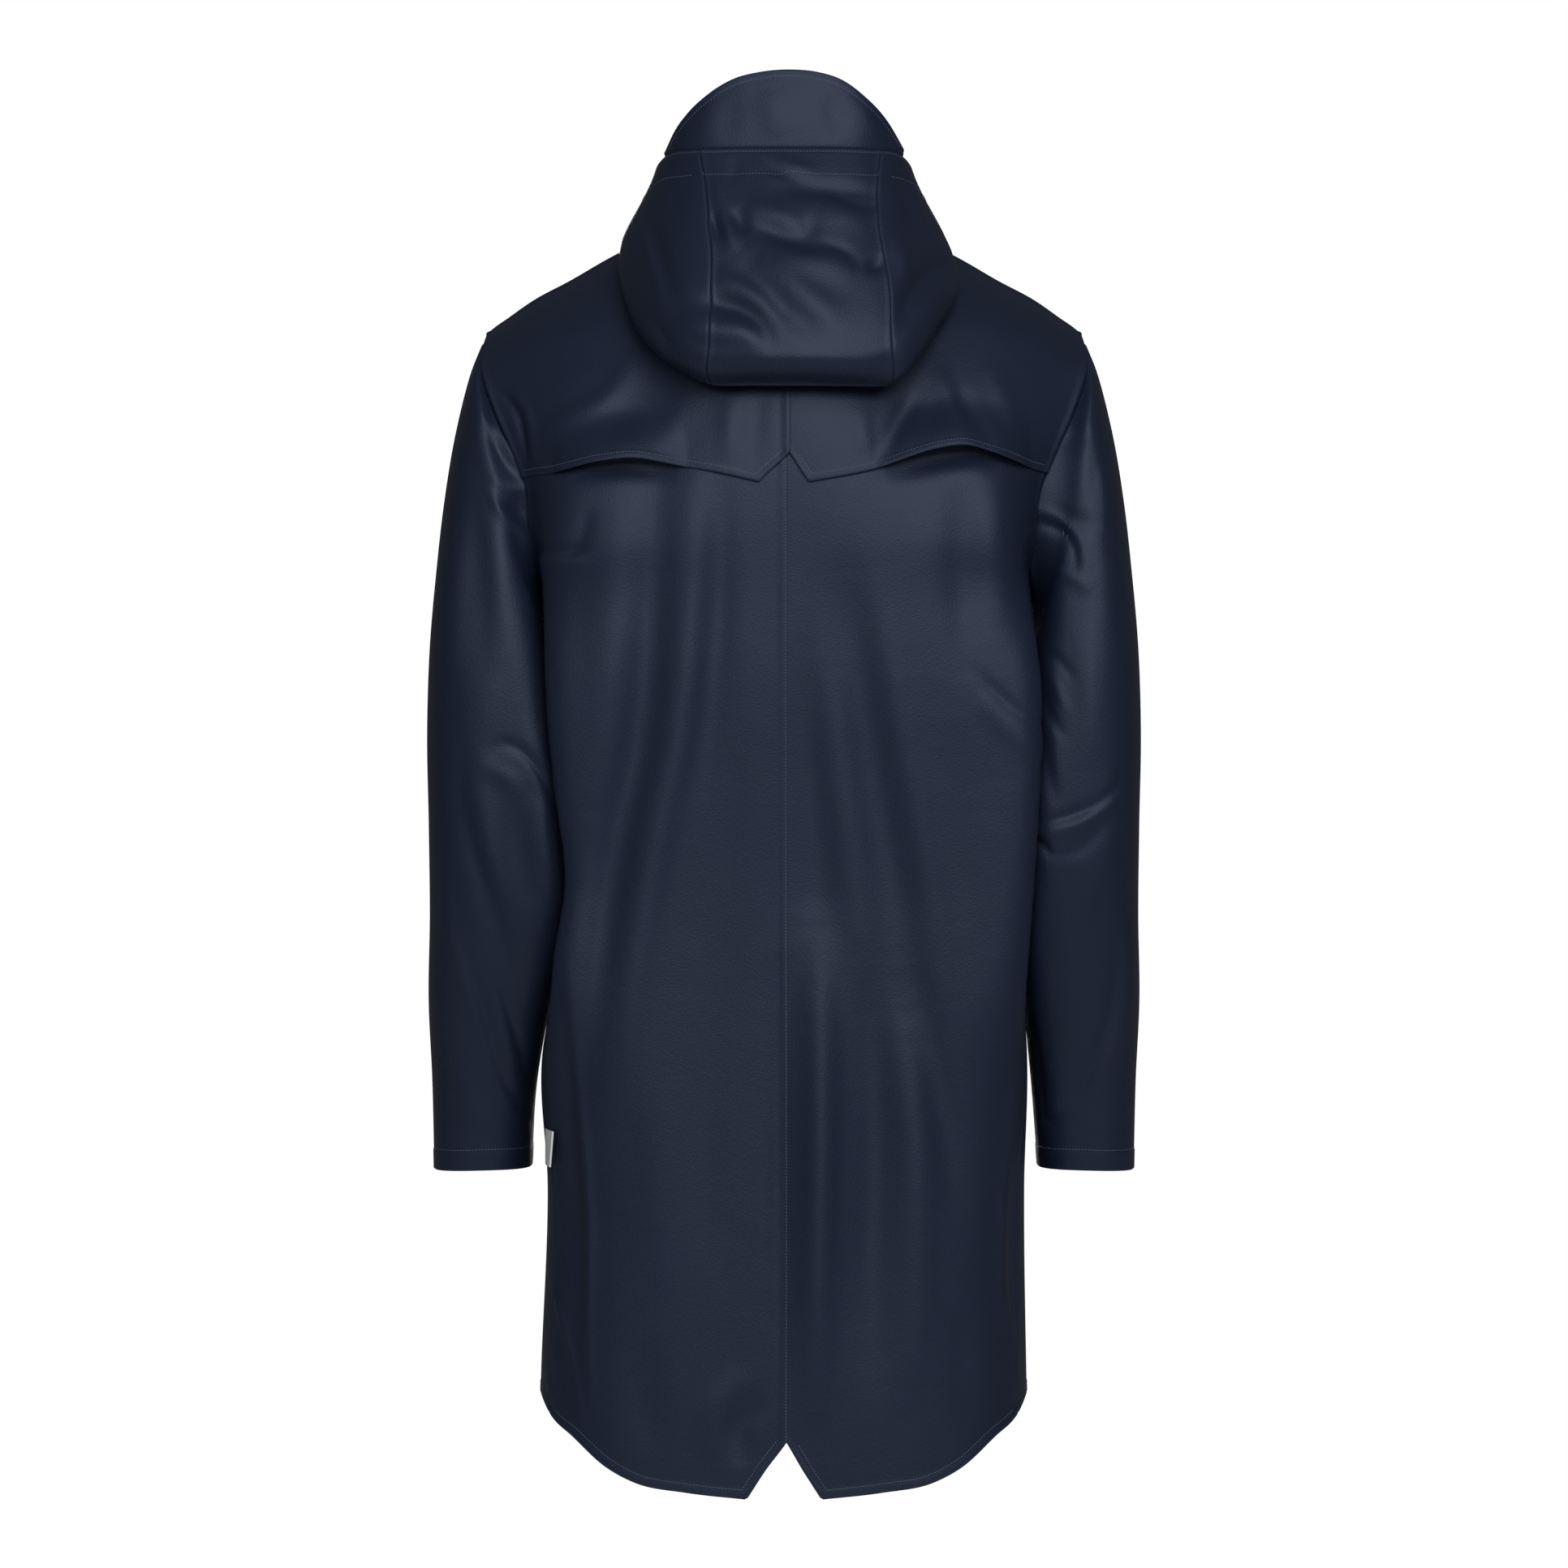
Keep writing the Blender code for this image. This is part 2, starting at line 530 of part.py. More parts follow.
def yoke_grid(side):
    fractions = graded(APEX_SHARE, YOKE_ACROSS)
    edge = yoke_edge_drop(side, fractions)
    shares = np.linspace(0.0, 1.0, YOKE_DOWN)
    rows = []
    for share in shares:
        rows.append([patch(side, False, [f], [d])[0, 0] for f, d in zip(fractions, edge * share)])
    grid = np.array(rows)
    normals = grid_normals(grid, np.array([0.2 * side, 1.0, 0.3]))
    x = grid[..., 0]
    z = grid[..., 2]
    lap = LAP * fade(shares, YOKE_LAP_START, YOKE_LAP_FULL)[:, None] * np.ones_like(x)
    name = "left" if side > 0 else "right"
    above = z - np.interp(np.abs(x), column(YOKE_EDGE, "x"), column(YOKE_EDGE, name))
    for vent in VENTS:
        near = np.cos(np.clip((x - vent.x) / vent.half_width, -1.0, 1.0) * math.pi / 2)
        lap += vent.lift * near * (1 - fade(above, 0.0, vent.climb))
    folds = np.maximum(fold_height(YOKE_FOLDS, x, z), -YOKE_FOLD_SHARE * np.maximum(lap - LAP, 0.0))
    return grid + normals * (lap + folds)[..., None]


# ---- sleeves ----
def spread(loop, turns):
    """Points at these turns (0 to 1, wrapping) of a closed loop."""
    places = np.linspace(0.0, 1.0, len(loop))
    return np.stack([np.interp(turns % 1.0, places, loop[:, axis]) for axis in range(3)], axis=1)


def joined_halves(back, front):
    """One loop from a back and a front half, each evenly spaced."""
    even = np.linspace(0.0, 1.0, FINE)
    return np.vstack((respace(back, even), respace(front, even)[1:]))


def ring_loop(side, row):
    """One sleeve ring, from its outer side over the back to the underarm and on."""
    inner_x = row.inner_left if side > 0 else row.inner_right
    outer = np.array([row.outer, row.mid, row.outer_z])
    inner = np.array([inner_x, row.mid, row.inner_z])
    middle = (outer + inner) / 2
    angle = np.linspace(0.0, 2 * math.pi, 2 * FINE + 1)
    power = 2.0 / SLEEVE_SQUARE
    sway = np.sign(np.cos(angle)) * np.abs(np.cos(angle)) ** power
    bulge = np.sign(np.sin(angle)) * np.abs(np.sin(angle)) ** power
    ring = middle + sway[:, None] * (outer - middle) + bulge[:, None] * np.array([0.0, row.depth, 0.0])
    return joined_halves(ring[:FINE + 1], ring[FINE:])


def armhole_loop(side):
    """The armhole's edge, moved out to where the sleeve's head starts."""
    tip = mirrored(underarm_point(side), side)
    loop = joined_halves(curve(ARMHOLE_BACK, tip), curve(ARMHOLE_FRONT, tip)[::-1])
    return loop + np.array([SLEEVE_START, 0.0, 0.0])


def sleeve_grid(side):
    """The whole sleeve: columns from the outer seam round the back and front."""
    back_turns = np.linspace(OUTER_SEAM_TURN, 0.5, SLEEVE_ACROSS)
    front_turns = np.linspace(0.5, 1.0 + OUTER_SEAM_TURN, SLEEVE_ACROSS)[1:]
    turns = np.concatenate((back_turns, front_turns))
    loops = [armhole_loop(side)] + [ring_loop(side, row) for row in SLEEVE]
    rings = np.array([spread(loop, turns) for loop in loops])
    reach = np.linalg.norm(np.diff(rings, axis=0), axis=2).mean(axis=1)
    places = np.concatenate(([0.0], np.cumsum(reach)))
    grid = np.empty((SLEEVE_DOWN, len(turns), 3))
    for step, place in enumerate(np.linspace(0.0, places[-1], SLEEVE_DOWN)):
        grid[step] = ring_at(place, places, rings)
    middle = grid[:, :-1].mean(axis=1, keepdims=True)
    outward = (grid - middle) * np.array([1.0, 0.6, 0.0])
    outward /= np.linalg.norm(outward, axis=2, keepdims=True)
    depth = grid[..., 1] - middle[..., 1]
    strength = fade(np.abs(depth), SLEEVE_FOLD_CLEAR, SLEEVE_FOLD_FULL)
    strength *= SLEEVE_FRONT_SHARE + (1 - SLEEVE_FRONT_SHARE) * fade(depth, SLEEVE_FRONT_Y, 0.0)
    height = fold_height(SLEEVE_FOLDS, side * grid[..., 0], grid[..., 2]) * strength
    return mirrored(grid + outward * height[..., None], side)


def ring_at(place, places, rings):
    """Ring at this place along the sleeve, smooth from ring to ring."""
    slopes = np.gradient(rings, places, axis=0)
    low = int(np.clip(np.searchsorted(places, place) - 1, 0, len(places) - 2))
    step = places[low + 1] - places[low]
    t = (place - places[low]) / step
    return ((1 + 2 * t) * (1 - t) ** 2 * rings[low] + t * (1 - t) ** 2 * step * slopes[low]
            + t * t * (3 - 2 * t) * rings[low + 1] + t * t * (t - 1) * step * slopes[low + 1])


# ---- hood ----
def bezier(start, first, second, end, count):
    t = np.linspace(0.0, 1.0, FINE)[:, None]
    line = ((1 - t) ** 3 * start + 3 * t * (1 - t) ** 2 * first
            + 3 * t * t * (1 - t) * second + t ** 3 * end)
    return respace(line, np.linspace(0.0, 1.0, count))


def hood_section(turn, side):
    """Half of the hood at this turn: opening edge, fold, neck seam."""
    turns = column(HOOD, "turn")
    at = {name: float(smooth(turn, turns, column(HOOD, name))) for name in HOOD[0]._fields[1:]}
    hand = "left" if side > 0 else "right"
    edge = np.array([at["edge_x"], at["edge_y"], at["edge_z"]])
    fold = np.array([at[hand + "_x"], at["fold_y"], at[hand + "_z"]])
    neck = neckline(turn) + np.array([0.0, 0.0, NECK_RISE])
    out = (fold - neck) * np.array([1.0, 1.0, 0.0])
    out /= np.linalg.norm(out)
    down = np.array([0.0, 0.0, fold[2] - edge[2]])
    outer = bezier(edge, edge + out * at["swell"] * EDGE_SWELL + down * EDGE_DROP,
                   fold + out * at["swell"] * FOLD_SWELL + down * FOLD_DROP, fold, HOOD_OUTER_DOWN)
    under = bezier(fold, fold - out * at["roll"] * FOLD_ROLL, neck + out * at["roll"] * NECK_ROLL, neck,
                   HOOD_UNDER_DOWN)
    points = np.vstack((outer, under[1:]))
    share = np.ones(len(points))
    share[HOOD_OUTER_DOWN - 1:] = np.linspace(1.0, 0.0, HOOD_UNDER_DOWN)
    lean = HOOD_LEAN * np.minimum(points[:, 2], 0.0) * share * fade(points[:, 1], LEAN_START_Y, LEAN_FULL_Y)
    points[:, 0] = side * points[:, 0] + lean
    return points


def hood_columns():
    """Place and side of each column: 0 at the throat, 1 at the panel seam, 2 at the nape."""
    sides = np.linspace(0.0, 1.0, HOOD_SIDE_ACROSS)
    centre = np.linspace(1.0, 2.0, HOOD_CENTRE_ACROSS)[1:]
    left = [(place, 1.0) for place in np.concatenate((sides, centre))]
    right = [(place, -1.0) for place, _ in reversed(left[:-1])]
    return left + right


def hood_column(place, side):
    """One column of the hood, whose turn follows the panel seam down."""
    shares = np.append(np.linspace(0.0, 1.0, HOOD_OUTER_DOWN), np.linspace(1.0, 2.0, HOOD_UNDER_DOWN)[1:])
    seam = smooth(shares, column(HOOD_SEAM, "share"), column(HOOD_SEAM, "left" if side > 0 else "right"))
    turns = min(place, 1.0) * seam + max(place - 1.0, 0.0) * (180.0 - seam)
    return np.array([hood_section(turn, side)[row] for row, turn in enumerate(turns)])


def hood_grid():
    return np.array([hood_column(place, side) for place, side in hood_columns()]).transpose(1, 0, 2)


def visor_grid():
    """The peak: a crescent that stands on the back of the opening."""
    half = np.linspace(VISOR_TURN, 180.0, VISOR_ACROSS)
    stations = [(turn, 1.0) for turn in half] + [(turn, -1.0) for turn in half[:-1][::-1]]
    columns = []
    for turn, side in stations:
        foot = hood_section(turn, side)[0] + np.array([0.0, 0.0, 2 * FLAT_SEAM])
        height = smooth(foot[0], column(VISOR_BRIM, "x"), column(VISOR_BRIM, "z")) - foot[2]
        height = max(height, VISOR_END)
        shares = np.linspace(0.0, 1.0, VISOR_DOWN)
        rise = np.stack((np.zeros_like(shares), VISOR_LEAN * shares ** 2, height * shares), axis=1)
        columns.append(foot + rise)
    return np.array(columns).transpose(1, 0, 2)[::-1]


# ---- placket, snaps and tab ----
def placket_grid(left_front, right_front):
    """Strip over the front edges, made from the fronts' points moved out.

    It is stiff across, so it spans the hollow of the chest.
    """
    reaches = np.linspace(-PLACKET_RIGHT, PLACKET_LEFT, PLACKET_ACROSS)
    strips = []
    for reach in reaches:
        front = left_front if reach >= 0 else right_front
        strip = [[reach, np.interp(abs(reach), abs(row[:, 0]), row[:, 1]),
                  np.interp(abs(reach), abs(row[:, 0]), row[:, 2])] for row in front]
        strips.append(np.array(strip))
    grid = np.array(strips).transpose(1, 0, 2)
    share = (reaches + PLACKET_RIGHT) / (PLACKET_LEFT + PLACKET_RIGHT)
    chord = grid[:, :1, 1] * (1 - share) + grid[:, -1:, 1] * share
    grid[..., 1] = np.minimum(grid[..., 1], chord)
    normals = grid_normals(grid, np.array([0.0, -1.0, 0.0]))
    return (grid + normals * LAP)[:-1]


def point_at(line, values, height):
    """Values along a line of points, read where the line passes this height."""
    return Vector([np.interp(-height, -line[:, 2], values[:, axis]) for axis in range(3)])


def place_snap(index, grid):
    """One round snap cap, face out on the placket."""
    height = SNAP_TOP - index * SNAP_PITCH
    middle = PLACKET_ACROSS // 2
    line = grid[:, middle]
    normals = grid_normals(grid, np.array([0.0, -1.0, 0.0]))[:, middle]
    foot = point_at(line, line, height)
    normal = point_at(line, normals, height).normalized()
    bpy.ops.mesh.primitive_cylinder_add(vertices=SNAP_SIDES, radius=SNAP_RADIUS, depth=SNAP_HEIGHT)
    snap = bpy.context.object
    snap.name = f"snap_{index + 1}"
    snap.rotation_euler = normal.to_track_quat("Z", "Y").to_euler()
    snap.location = foot + normal * (SNAP_GAP + SNAP_HEIGHT / 2)
    finish(snap, "snap_plastic")


def place_tab():
    """The bare tab, sewn into the left side seam and standing back from it."""
    middle = TAB_TOP - TAB_HEIGHT / 2
    seam = section(1, TAB_TOP, False)[-1]
    bpy.ops.mesh.primitive_cube_add(size=1.0)
    tab = bpy.context.object
    tab.name = "side_label"
    tab.scale = (TAB_WALL, TAB_REACH, TAB_HEIGHT)
    tab.location = (seam[0] + TAB_GAP + TAB_WALL / 2, seam[1] + TAB_REACH / 2, middle)
    bpy.ops.object.transform_apply(location=False, rotation=False, scale=True)
    finish(tab, "tab_white")


# ---- building ----
def draw_in(grid, left=0.0, right=0.0, top=0.0, bottom=0.0):
    """Pull the edges of a grid in along the cloth by these distances."""
    grid = grid.copy()
    for axis, near, far in ((1, left, right), (0, top, bottom)):
        lines = grid.swapaxes(0, axis)
        for end, inside, distance in ((0, 1, near), (-1, -2, far)):
            step = lines[inside] - lines[end]
            share = np.broadcast_to(distance, len(step)) / np.linalg.norm(step, axis=1)
            lines[end] += step * share[:, None]
    return grid


def shoulder_gaps(across):
    """Half gap in each column: the shoulder's ridge is sharpest at the neck."""
    return np.linspace(NECK_SEAM, TIP_SEAM, across)


def finish(obj, material):
    for collection in list(obj.users_collection):
        collection.objects.unlink(obj)
    bpy.data.collections[COAT].objects.link(obj)
    obj.data.materials.append(bpy.data.materials[material])


def cloth(name, grid, outward):
    """A grid of outer points as a wall of cloth, thickened to the inside."""
    down, across = grid.shape[:2]
    facing = grid_normals(grid, outward)
    across_first = np.cross(grid[0, 1] - grid[0, 0], grid[1, 0] - grid[0, 0])
    flip = np.dot(across_first, facing[0, 0]) > 0
    faces = []
    for r in range(down - 1):
        for c in range(across - 1):
            corner = r * across + c
            face = (corner, corner + across, corner + across + 1, corner + 1)
            faces.append(face[::-1] if flip else face)
    mesh = bpy.data.meshes.new(name)
    mesh.from_pydata(grid.reshape(-1, 3).tolist(), [], faces)
    mesh.shade_smooth()
    obj = bpy.data.objects.new(name, mesh)
    bpy.context.scene.collection.objects.link(obj)
    wall = obj.modifiers.new("wall", "SOLIDIFY")
    wall.thickness = WALL
    wall.offset = -1.0
    finish(obj, "coated_cloth")
    return obj


def make_material(name, colour, roughness):
    material = bpy.data.materials.new(name)
    material.use_nodes = True
    shader = material.node_tree.nodes["Principled BSDF"]
    shader.inputs["Base Color"].default_value = colour
    shader.inputs["Roughness"].default_value = roughness
    shader.inputs["Metallic"].default_value = 0.0


def build_body():
    fronts = {}
    for side, name in ((1, "left"), (-1, "right")):
        outward = np.array([0.3 * side, 1.0, 0.0])
        back = draw_in(back_grid(side), left=FLAT_SEAM, right=BENT_SEAM)
        cloth(f"back_{name}", back, outward)
        yoke = draw_in(yoke_grid(side), left=FLAT_SEAM, right=BENT_SEAM, top=shoulder_gaps(YOKE_ACROSS))
        cloth(f"yoke_{name}", yoke, outward)
        fronts[side] = front_grid(side)
        front = draw_in(fronts[side], left=FLAT_SEAM, right=BENT_SEAM, top=shoulder_gaps(FRONT_ACROSS))
        cloth(f"front_{name}", front, np.array([0.3 * side, -1.0, 0.0]))
    placket = draw_in(placket_grid(fronts[1], fronts[-1]), top=PLACKET_INSET)
    cloth("placket", placket, np.array([0.0, -1.0, 0.0]))
    for index in range(SNAP_COUNT):
        place_snap(index, placket)
    place_tab()


def build_sleeves():
    for side, name in ((1, "left"), (-1, "right")):
        grid = sleeve_grid(side)
        for piece, columns, facing in (("back", slice(None, SLEEVE_ACROSS), 1.0),
                                       ("front", slice(SLEEVE_ACROSS - 1, None), -1.0)):
            panel = draw_in(grid[:, columns], left=BENT_SEAM, right=BENT_SEAM)
            cloth(f"sleeve_{name}_{piece}", panel, np.array([0.0, facing, 0.0]))


def build_hood():
    grid = hood_grid()
    last = HOOD_SIDE_ACROSS - 1
    middle = grid.mean(axis=(0, 1))
    outward = grid - middle
    outward[HOOD_OUTER_DOWN // 2:] = 0.0
    for name, first, end in (("hood_left", 0, last),
                             ("hood_centre", last, grid.shape[1] - 1 - last),
                             ("hood_right", grid.shape[1] - 1 - last, grid.shape[1] - 1)):
        panel = draw_in(grid[:, first:end + 1], left=BENT_SEAM, right=BENT_SEAM)
        cloth(name, panel, outward[:, first:end + 1])
    visor = visor_grid()
    cloth("hood_visor", visor, np.array([0.0, 1.0, 0.0]))


def main():
    for obj in list(bpy.data.objects):
        bpy.data.objects.remove(obj)
    coat = bpy.data.collections.new(COAT)
    bpy.context.scene.collection.children.link(coat)
    make_material("coated_cloth", NAVY, CLOTH_ROUGHNESS)
    make_material("snap_plastic", SNAP_COLOUR, SNAP_ROUGHNESS)
    make_material("tab_white", WHITE, TAB_ROUGHNESS)
    build_body()
    build_sleeves()
    build_hood()


main()
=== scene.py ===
import math
from collections import namedtuple

import bmesh
import bpy
import numpy as np
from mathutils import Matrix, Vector


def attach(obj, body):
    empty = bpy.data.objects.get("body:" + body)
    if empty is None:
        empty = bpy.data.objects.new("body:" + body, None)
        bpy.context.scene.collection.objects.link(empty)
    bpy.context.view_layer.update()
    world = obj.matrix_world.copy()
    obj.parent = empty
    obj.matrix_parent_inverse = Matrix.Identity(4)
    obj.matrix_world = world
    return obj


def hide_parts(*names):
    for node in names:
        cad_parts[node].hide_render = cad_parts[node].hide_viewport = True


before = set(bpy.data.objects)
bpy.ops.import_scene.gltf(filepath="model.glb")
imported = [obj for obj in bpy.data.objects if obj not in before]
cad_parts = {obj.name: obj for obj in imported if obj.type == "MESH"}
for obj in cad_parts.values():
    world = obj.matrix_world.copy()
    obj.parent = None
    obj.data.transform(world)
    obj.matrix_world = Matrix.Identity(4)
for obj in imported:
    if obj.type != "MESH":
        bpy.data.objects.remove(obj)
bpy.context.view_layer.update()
print("frame loaded")


def tableOf(names, *rows):
    # rows of numbers with named columns
    Row = namedtuple("Row", names)
    return [Row(*row) for row in rows]


# Metres, +Z up. The coat faces -Y, the wearer's left is +X, and the eye looks at its back.
coat = {
    "wall": 0.0009,              # cloth and backing together
    "cell": 0.0028,              # grid spacing
    "neckSide": (0.078, -0.003, 0.018),
    "neckBackY": 0.066,
    "neckFrontY": -0.085,
    "neckFrontZ": -0.055,
    "underarmZ": -0.272,
    "hemReadZ": -0.940,          # the hem's curves are laid out along this section
    "lowestZ": -0.985,           # just below the hem
    "eyeAway": 4.5,
    "eyeZ": -0.4196,
    "frameHeight": 1.217,        # what the eye sees from top to bottom in the neck's plane
    "sensor": 36.0,              # millimetres
}
# points on the lines that the grids are read from
samples = {"quarter": 300, "levels": 110, "line": 240, "curve": 200, "neck": 80, "hoodPerDegree": 2}

# Sections of the body from the underarm down. Dent is how far the arm presses the side in,
# and seamY is where the side seam runs.
bodyLevels = tableOf(
    "z left right back front square dent seamY",
    (-0.272, 0.1870, 0.1922, 0.137, 0.130, 4.8, 0.002, 0.035),
    (-0.340, 0.1838, 0.2000, 0.137, 0.130, 7.5, 0.012, 0.042),
    (-0.420, 0.1770, 0.198, 0.134, 0.128, 9.5, 0.015, 0.053),
    (-0.500, 0.1715, 0.194, 0.132, 0.127, 9.5, 0.014, 0.065),
    (-0.560, 0.1810, 0.191, 0.133, 0.128, 8.5, 0.012, 0.073),
    (-0.620, 0.1865, 0.188, 0.135, 0.130, 5.9, 0.002, 0.080),
    (-0.730, 0.1820, 0.185, 0.138, 0.133, 4.2, 0.000, 0.087),
    (-0.880, 0.1875, 0.187, 0.143, 0.136, 3.8, 0.000, 0.090),
    (-0.975, 0.1890, 0.189, 0.145, 0.138, 3.8, 0.000, 0.091),
)
# where the arm's dent is deepest, how far it reaches to both sides and how square it is
dent = {"y": 0.020, "reach": 0.085, "power": 4}

# Hems from the centre out: a straight notch edge, then a smooth curve.
backHem = tableOf(
    "x z",
    (0.000, -0.9137), (0.028, -0.9573), (0.074, -0.9523), (0.113, -0.9451), (0.135, -0.9340),
    (0.161, -0.9125), (0.179, -0.8980), (0.187, -0.8860),
)
frontHem = tableOf(
    "x z",
    (0.000, -0.9000), (0.080, -0.9020), (0.150, -0.8950), (0.187, -0.8860),
)

# The yoke flap's free edge: an upside-down V in the middle, raised where the back is vented.
yokeEdge = tableOf(
    "x left right",
    (0.000, -0.1690, -0.1690), (0.019, -0.1923, -0.1923), (0.060, -0.1834, -0.1848),
    (0.090, -0.1795, -0.1768), (0.112, -0.1779, -0.1720), (0.137, -0.1800, -0.1694),
    (0.163, -0.1836, -0.1750), (0.195, -0.1855, -0.1815),
)
vents = tableOf(
    "x halfWidth lift climb",
    (0.124, 0.050, 0.013, 0.046),
    (-0.127, 0.058, 0.015, 0.046),
)

# Lines of the left half; the right half has the same, mirrored.
shoulder = tableOf(
    "x y z",
    (0.078, -0.003, 0.0180), (0.138, 0.000, -0.0125), (0.165, 0.002, -0.0285), (0.193, 0.002, -0.0435),
    (0.214, 0.001, -0.0580), (0.226, 0.000, -0.0665), (0.231, 0.000, -0.0720),
)
armholeBack = tableOf(
    "x y z",
    (0.231, 0.000, -0.072), (0.233, 0.030, -0.086), (0.231, 0.052, -0.108), (0.220, 0.068, -0.138),
    (0.206, 0.077, -0.168), (0.195, 0.080, -0.195), (0.190, 0.074, -0.230), (0.187, 0.056, -0.260),
)
armholeFront = tableOf(
    "x y z",
    (0.231, 0.000, -0.072), (0.230, -0.028, -0.086), (0.225, -0.050, -0.110), (0.212, -0.066, -0.140),
    (0.199, -0.073, -0.170), (0.190, -0.074, -0.200), (0.186, -0.062, -0.238), (0.185, -0.030, -0.262),
)
centreBack = tableOf(
    "x y z",
    (0.0, 0.066, 0.000), (0.0, 0.092, -0.030), (0.0, 0.107, -0.060), (0.0, 0.121, -0.100),
    (0.0, 0.131, -0.150), (0.0, 0.136, -0.210), (0.0, 0.137, -0.272),
)
centreFront = tableOf(
    "x y z",
    (0.0, -0.0850, -0.055), (0.0, -0.1065, -0.085), (0.0, -0.1235, -0.130), (0.0, -0.1325, -0.185),
    (0.0, -0.1325, -0.225), (0.0, -0.1300, -0.272),
)

# Rings of a sleeve from its outer side to its underarm side. Depth is half of front to back,
# and innerSquare is how square the quarter against the body's back is.
sleeveRings = tableOf(
    "outer outerZ innerLeft innerRight innerZ depth mid innerSquare",
    (0.242, -0.104, 0.1835, 0.1924, -0.292, 0.079, 0.006, 2.7),
    (0.253, -0.150, 0.1768, 0.1895, -0.318, 0.080, 0.012, 3.0),
    (0.261, -0.200, 0.1712, 0.1885, -0.348, 0.079, 0.018, 3.6),
    (0.267, -0.255, 0.1695, 0.1895, -0.382, 0.078, 0.023, 4.4),
    (0.272, -0.315, 0.1660, 0.1870, -0.418, 0.076, 0.027, 5.0),
    (0.274, -0.380, 0.1640, 0.1855, -0.456, 0.074, 0.028, 5.0),
    (0.273, -0.450, 0.1620, 0.1840, -0.500, 0.072, 0.025, 5.0),
    (0.273, -0.520, 0.1705, 0.1830, -0.548, 0.070, 0.012, 5.0),
    (0.275, -0.585, 0.1830, 0.1872, -0.598, 0.066, -0.006, 4.4),
    (0.273, -0.650, 0.1930, 0.1930, -0.655, 0.060, -0.020, 3.6),
    (0.272, -0.719, 0.1970, 0.1980, -0.717, 0.056, -0.029, 3.0),
)

# Sections of the hood round the neck, turn 0 at the throat and 180 at the nape.
hoodSections = tableOf(
    "turn edgeX edgeY edgeZ leftX leftZ rightX rightZ foldY swell roll",
    (0, 0.0010, -0.104, -0.004, 0.0010, -0.0470, 0.0010, -0.0470, -0.0985, 0.006, 0.004),
    (25, 0.045, -0.094, 0.002, 0.048, -0.0360, 0.048, -0.0360, -0.0960, 0.008, 0.005),
    (50, 0.082, -0.064, 0.014, 0.087, -0.0110, 0.087, -0.0110, -0.0660, 0.012, 0.007),
    (75, 0.095, -0.020, 0.030, 0.110, 0.0075, 0.110, 0.0075, -0.0190, 0.008, 0.008),
    (98, 0.100, 0.022, 0.046, 0.120, 0.0010, 0.120, 0.0010, 0.0270, 0.009, 0.011),
    (118, 0.096, 0.054, 0.057, 0.127, -0.0270, 0.129, -0.0290, 0.0600, 0.010, 0.016),
    (134, 0.085, 0.075, 0.063, 0.1225, -0.0580, 0.121, -0.0550, 0.0830, 0.018, 0.020),
    (148, 0.070, 0.089, 0.063, 0.1095, -0.0880, 0.102, -0.0800, 0.1080, 0.030, 0.024),
    (158, 0.0535, 0.0965, 0.063, 0.0925, -0.1065, 0.0865, -0.1030, 0.1290, 0.0410, 0.0265),
    (166, 0.036, 0.0995, 0.063, 0.0675, -0.1215, 0.0675, -0.1215, 0.1415, 0.0495, 0.028),
    (173, 0.018, 0.1005, 0.063, 0.034, -0.1232, 0.034, -0.1232, 0.1455, 0.0515, 0.0295),
    (180, 0.000, 0.101, 0.063, 0.000, -0.1235, 0.000, -0.1235, 0.1465, 0.052, 0.030),
)
# Turns of the seams beside the centre panel: share 0 is the opening's edge, 1 the fold, 2 the neck.
hoodSeams = tableOf(
    "share left right",
    (0.00, 151.5, 144.5), (0.18, 160.5, 153.5), (0.36, 165.8, 159.2), (0.60, 168.0, 164.0),
    (0.80, 168.3, 167.0), (1.00, 166.0, 166.0), (1.40, 164.0, 164.0), (2.00, 158.0, 158.0),
)
# the visor's free edge, seen from behind
visorBrim = tableOf(
    "x z",
    (0.0910, 0.0640), (0.0834, 0.0790), (0.0733, 0.0919), (0.0584, 0.1048), (0.0385, 0.1164),
    (0.0188, 0.1214), (-0.0060, 0.1233), (-0.0256, 0.1215), (-0.0454, 0.1151), (-0.0651, 0.1002),
    (-0.0802, 0.0841), (-0.0930, 0.0640),
)


toBack = np.array([0.0, 1.0, 0.0])
toFront = np.array([0.0, -1.0, 0.0])
level = np.array([1.0, 1.0, 0.0])      # takes the height out of a direction


def column(rows, name):
    return np.array([getattr(row, name) for row in rows], dtype=float)


def smooth(places, keys, values):
    # cubic curve through (key, value) pairs
    keys = np.asarray(keys, dtype=float)
    values = np.asarray(values, dtype=float)
    if keys[0] > keys[-1]:
        keys = keys[::-1]
        values = values[::-1]
    slopes = np.gradient(values, keys, axis=0)
    places = np.clip(places, keys[0], keys[-1])
    low = np.clip(np.searchsorted(keys, places) - 1, 0, len(keys) - 2)
    step = keys[low + 1] - keys[low]
    t = (places - keys[low]) / step
    if values.ndim > 1:
        t = np.expand_dims(t, tuple(range(t.ndim, t.ndim + values.ndim - 1)))
        step = np.expand_dims(step, tuple(range(step.ndim, step.ndim + values.ndim - 1)))
    return ((1 + 2 * t) * (1 - t) ** 2 * values[low] + t * (1 - t) ** 2 * step * slopes[low]
            + t * t * (3 - 2 * t) * values[low + 1] + t * t * (t - 1) * step * slopes[low + 1])


def rowAt(rows, place):
    # the smooth row at a place in a table's first column
    table = np.array(rows)
    return type(rows[0])(place, *smooth(place, table[:, 0], table[:, 1:]))


def stepUp(value, start, end):
    # soft step from 0 at start to 1 at end
    t = np.clip((value - start) / (end - start), 0.0, 1.0)
    return t * t * (3 - 2 * t)


def bump(distance, width):
    return np.exp(-(distance / width) ** 2)


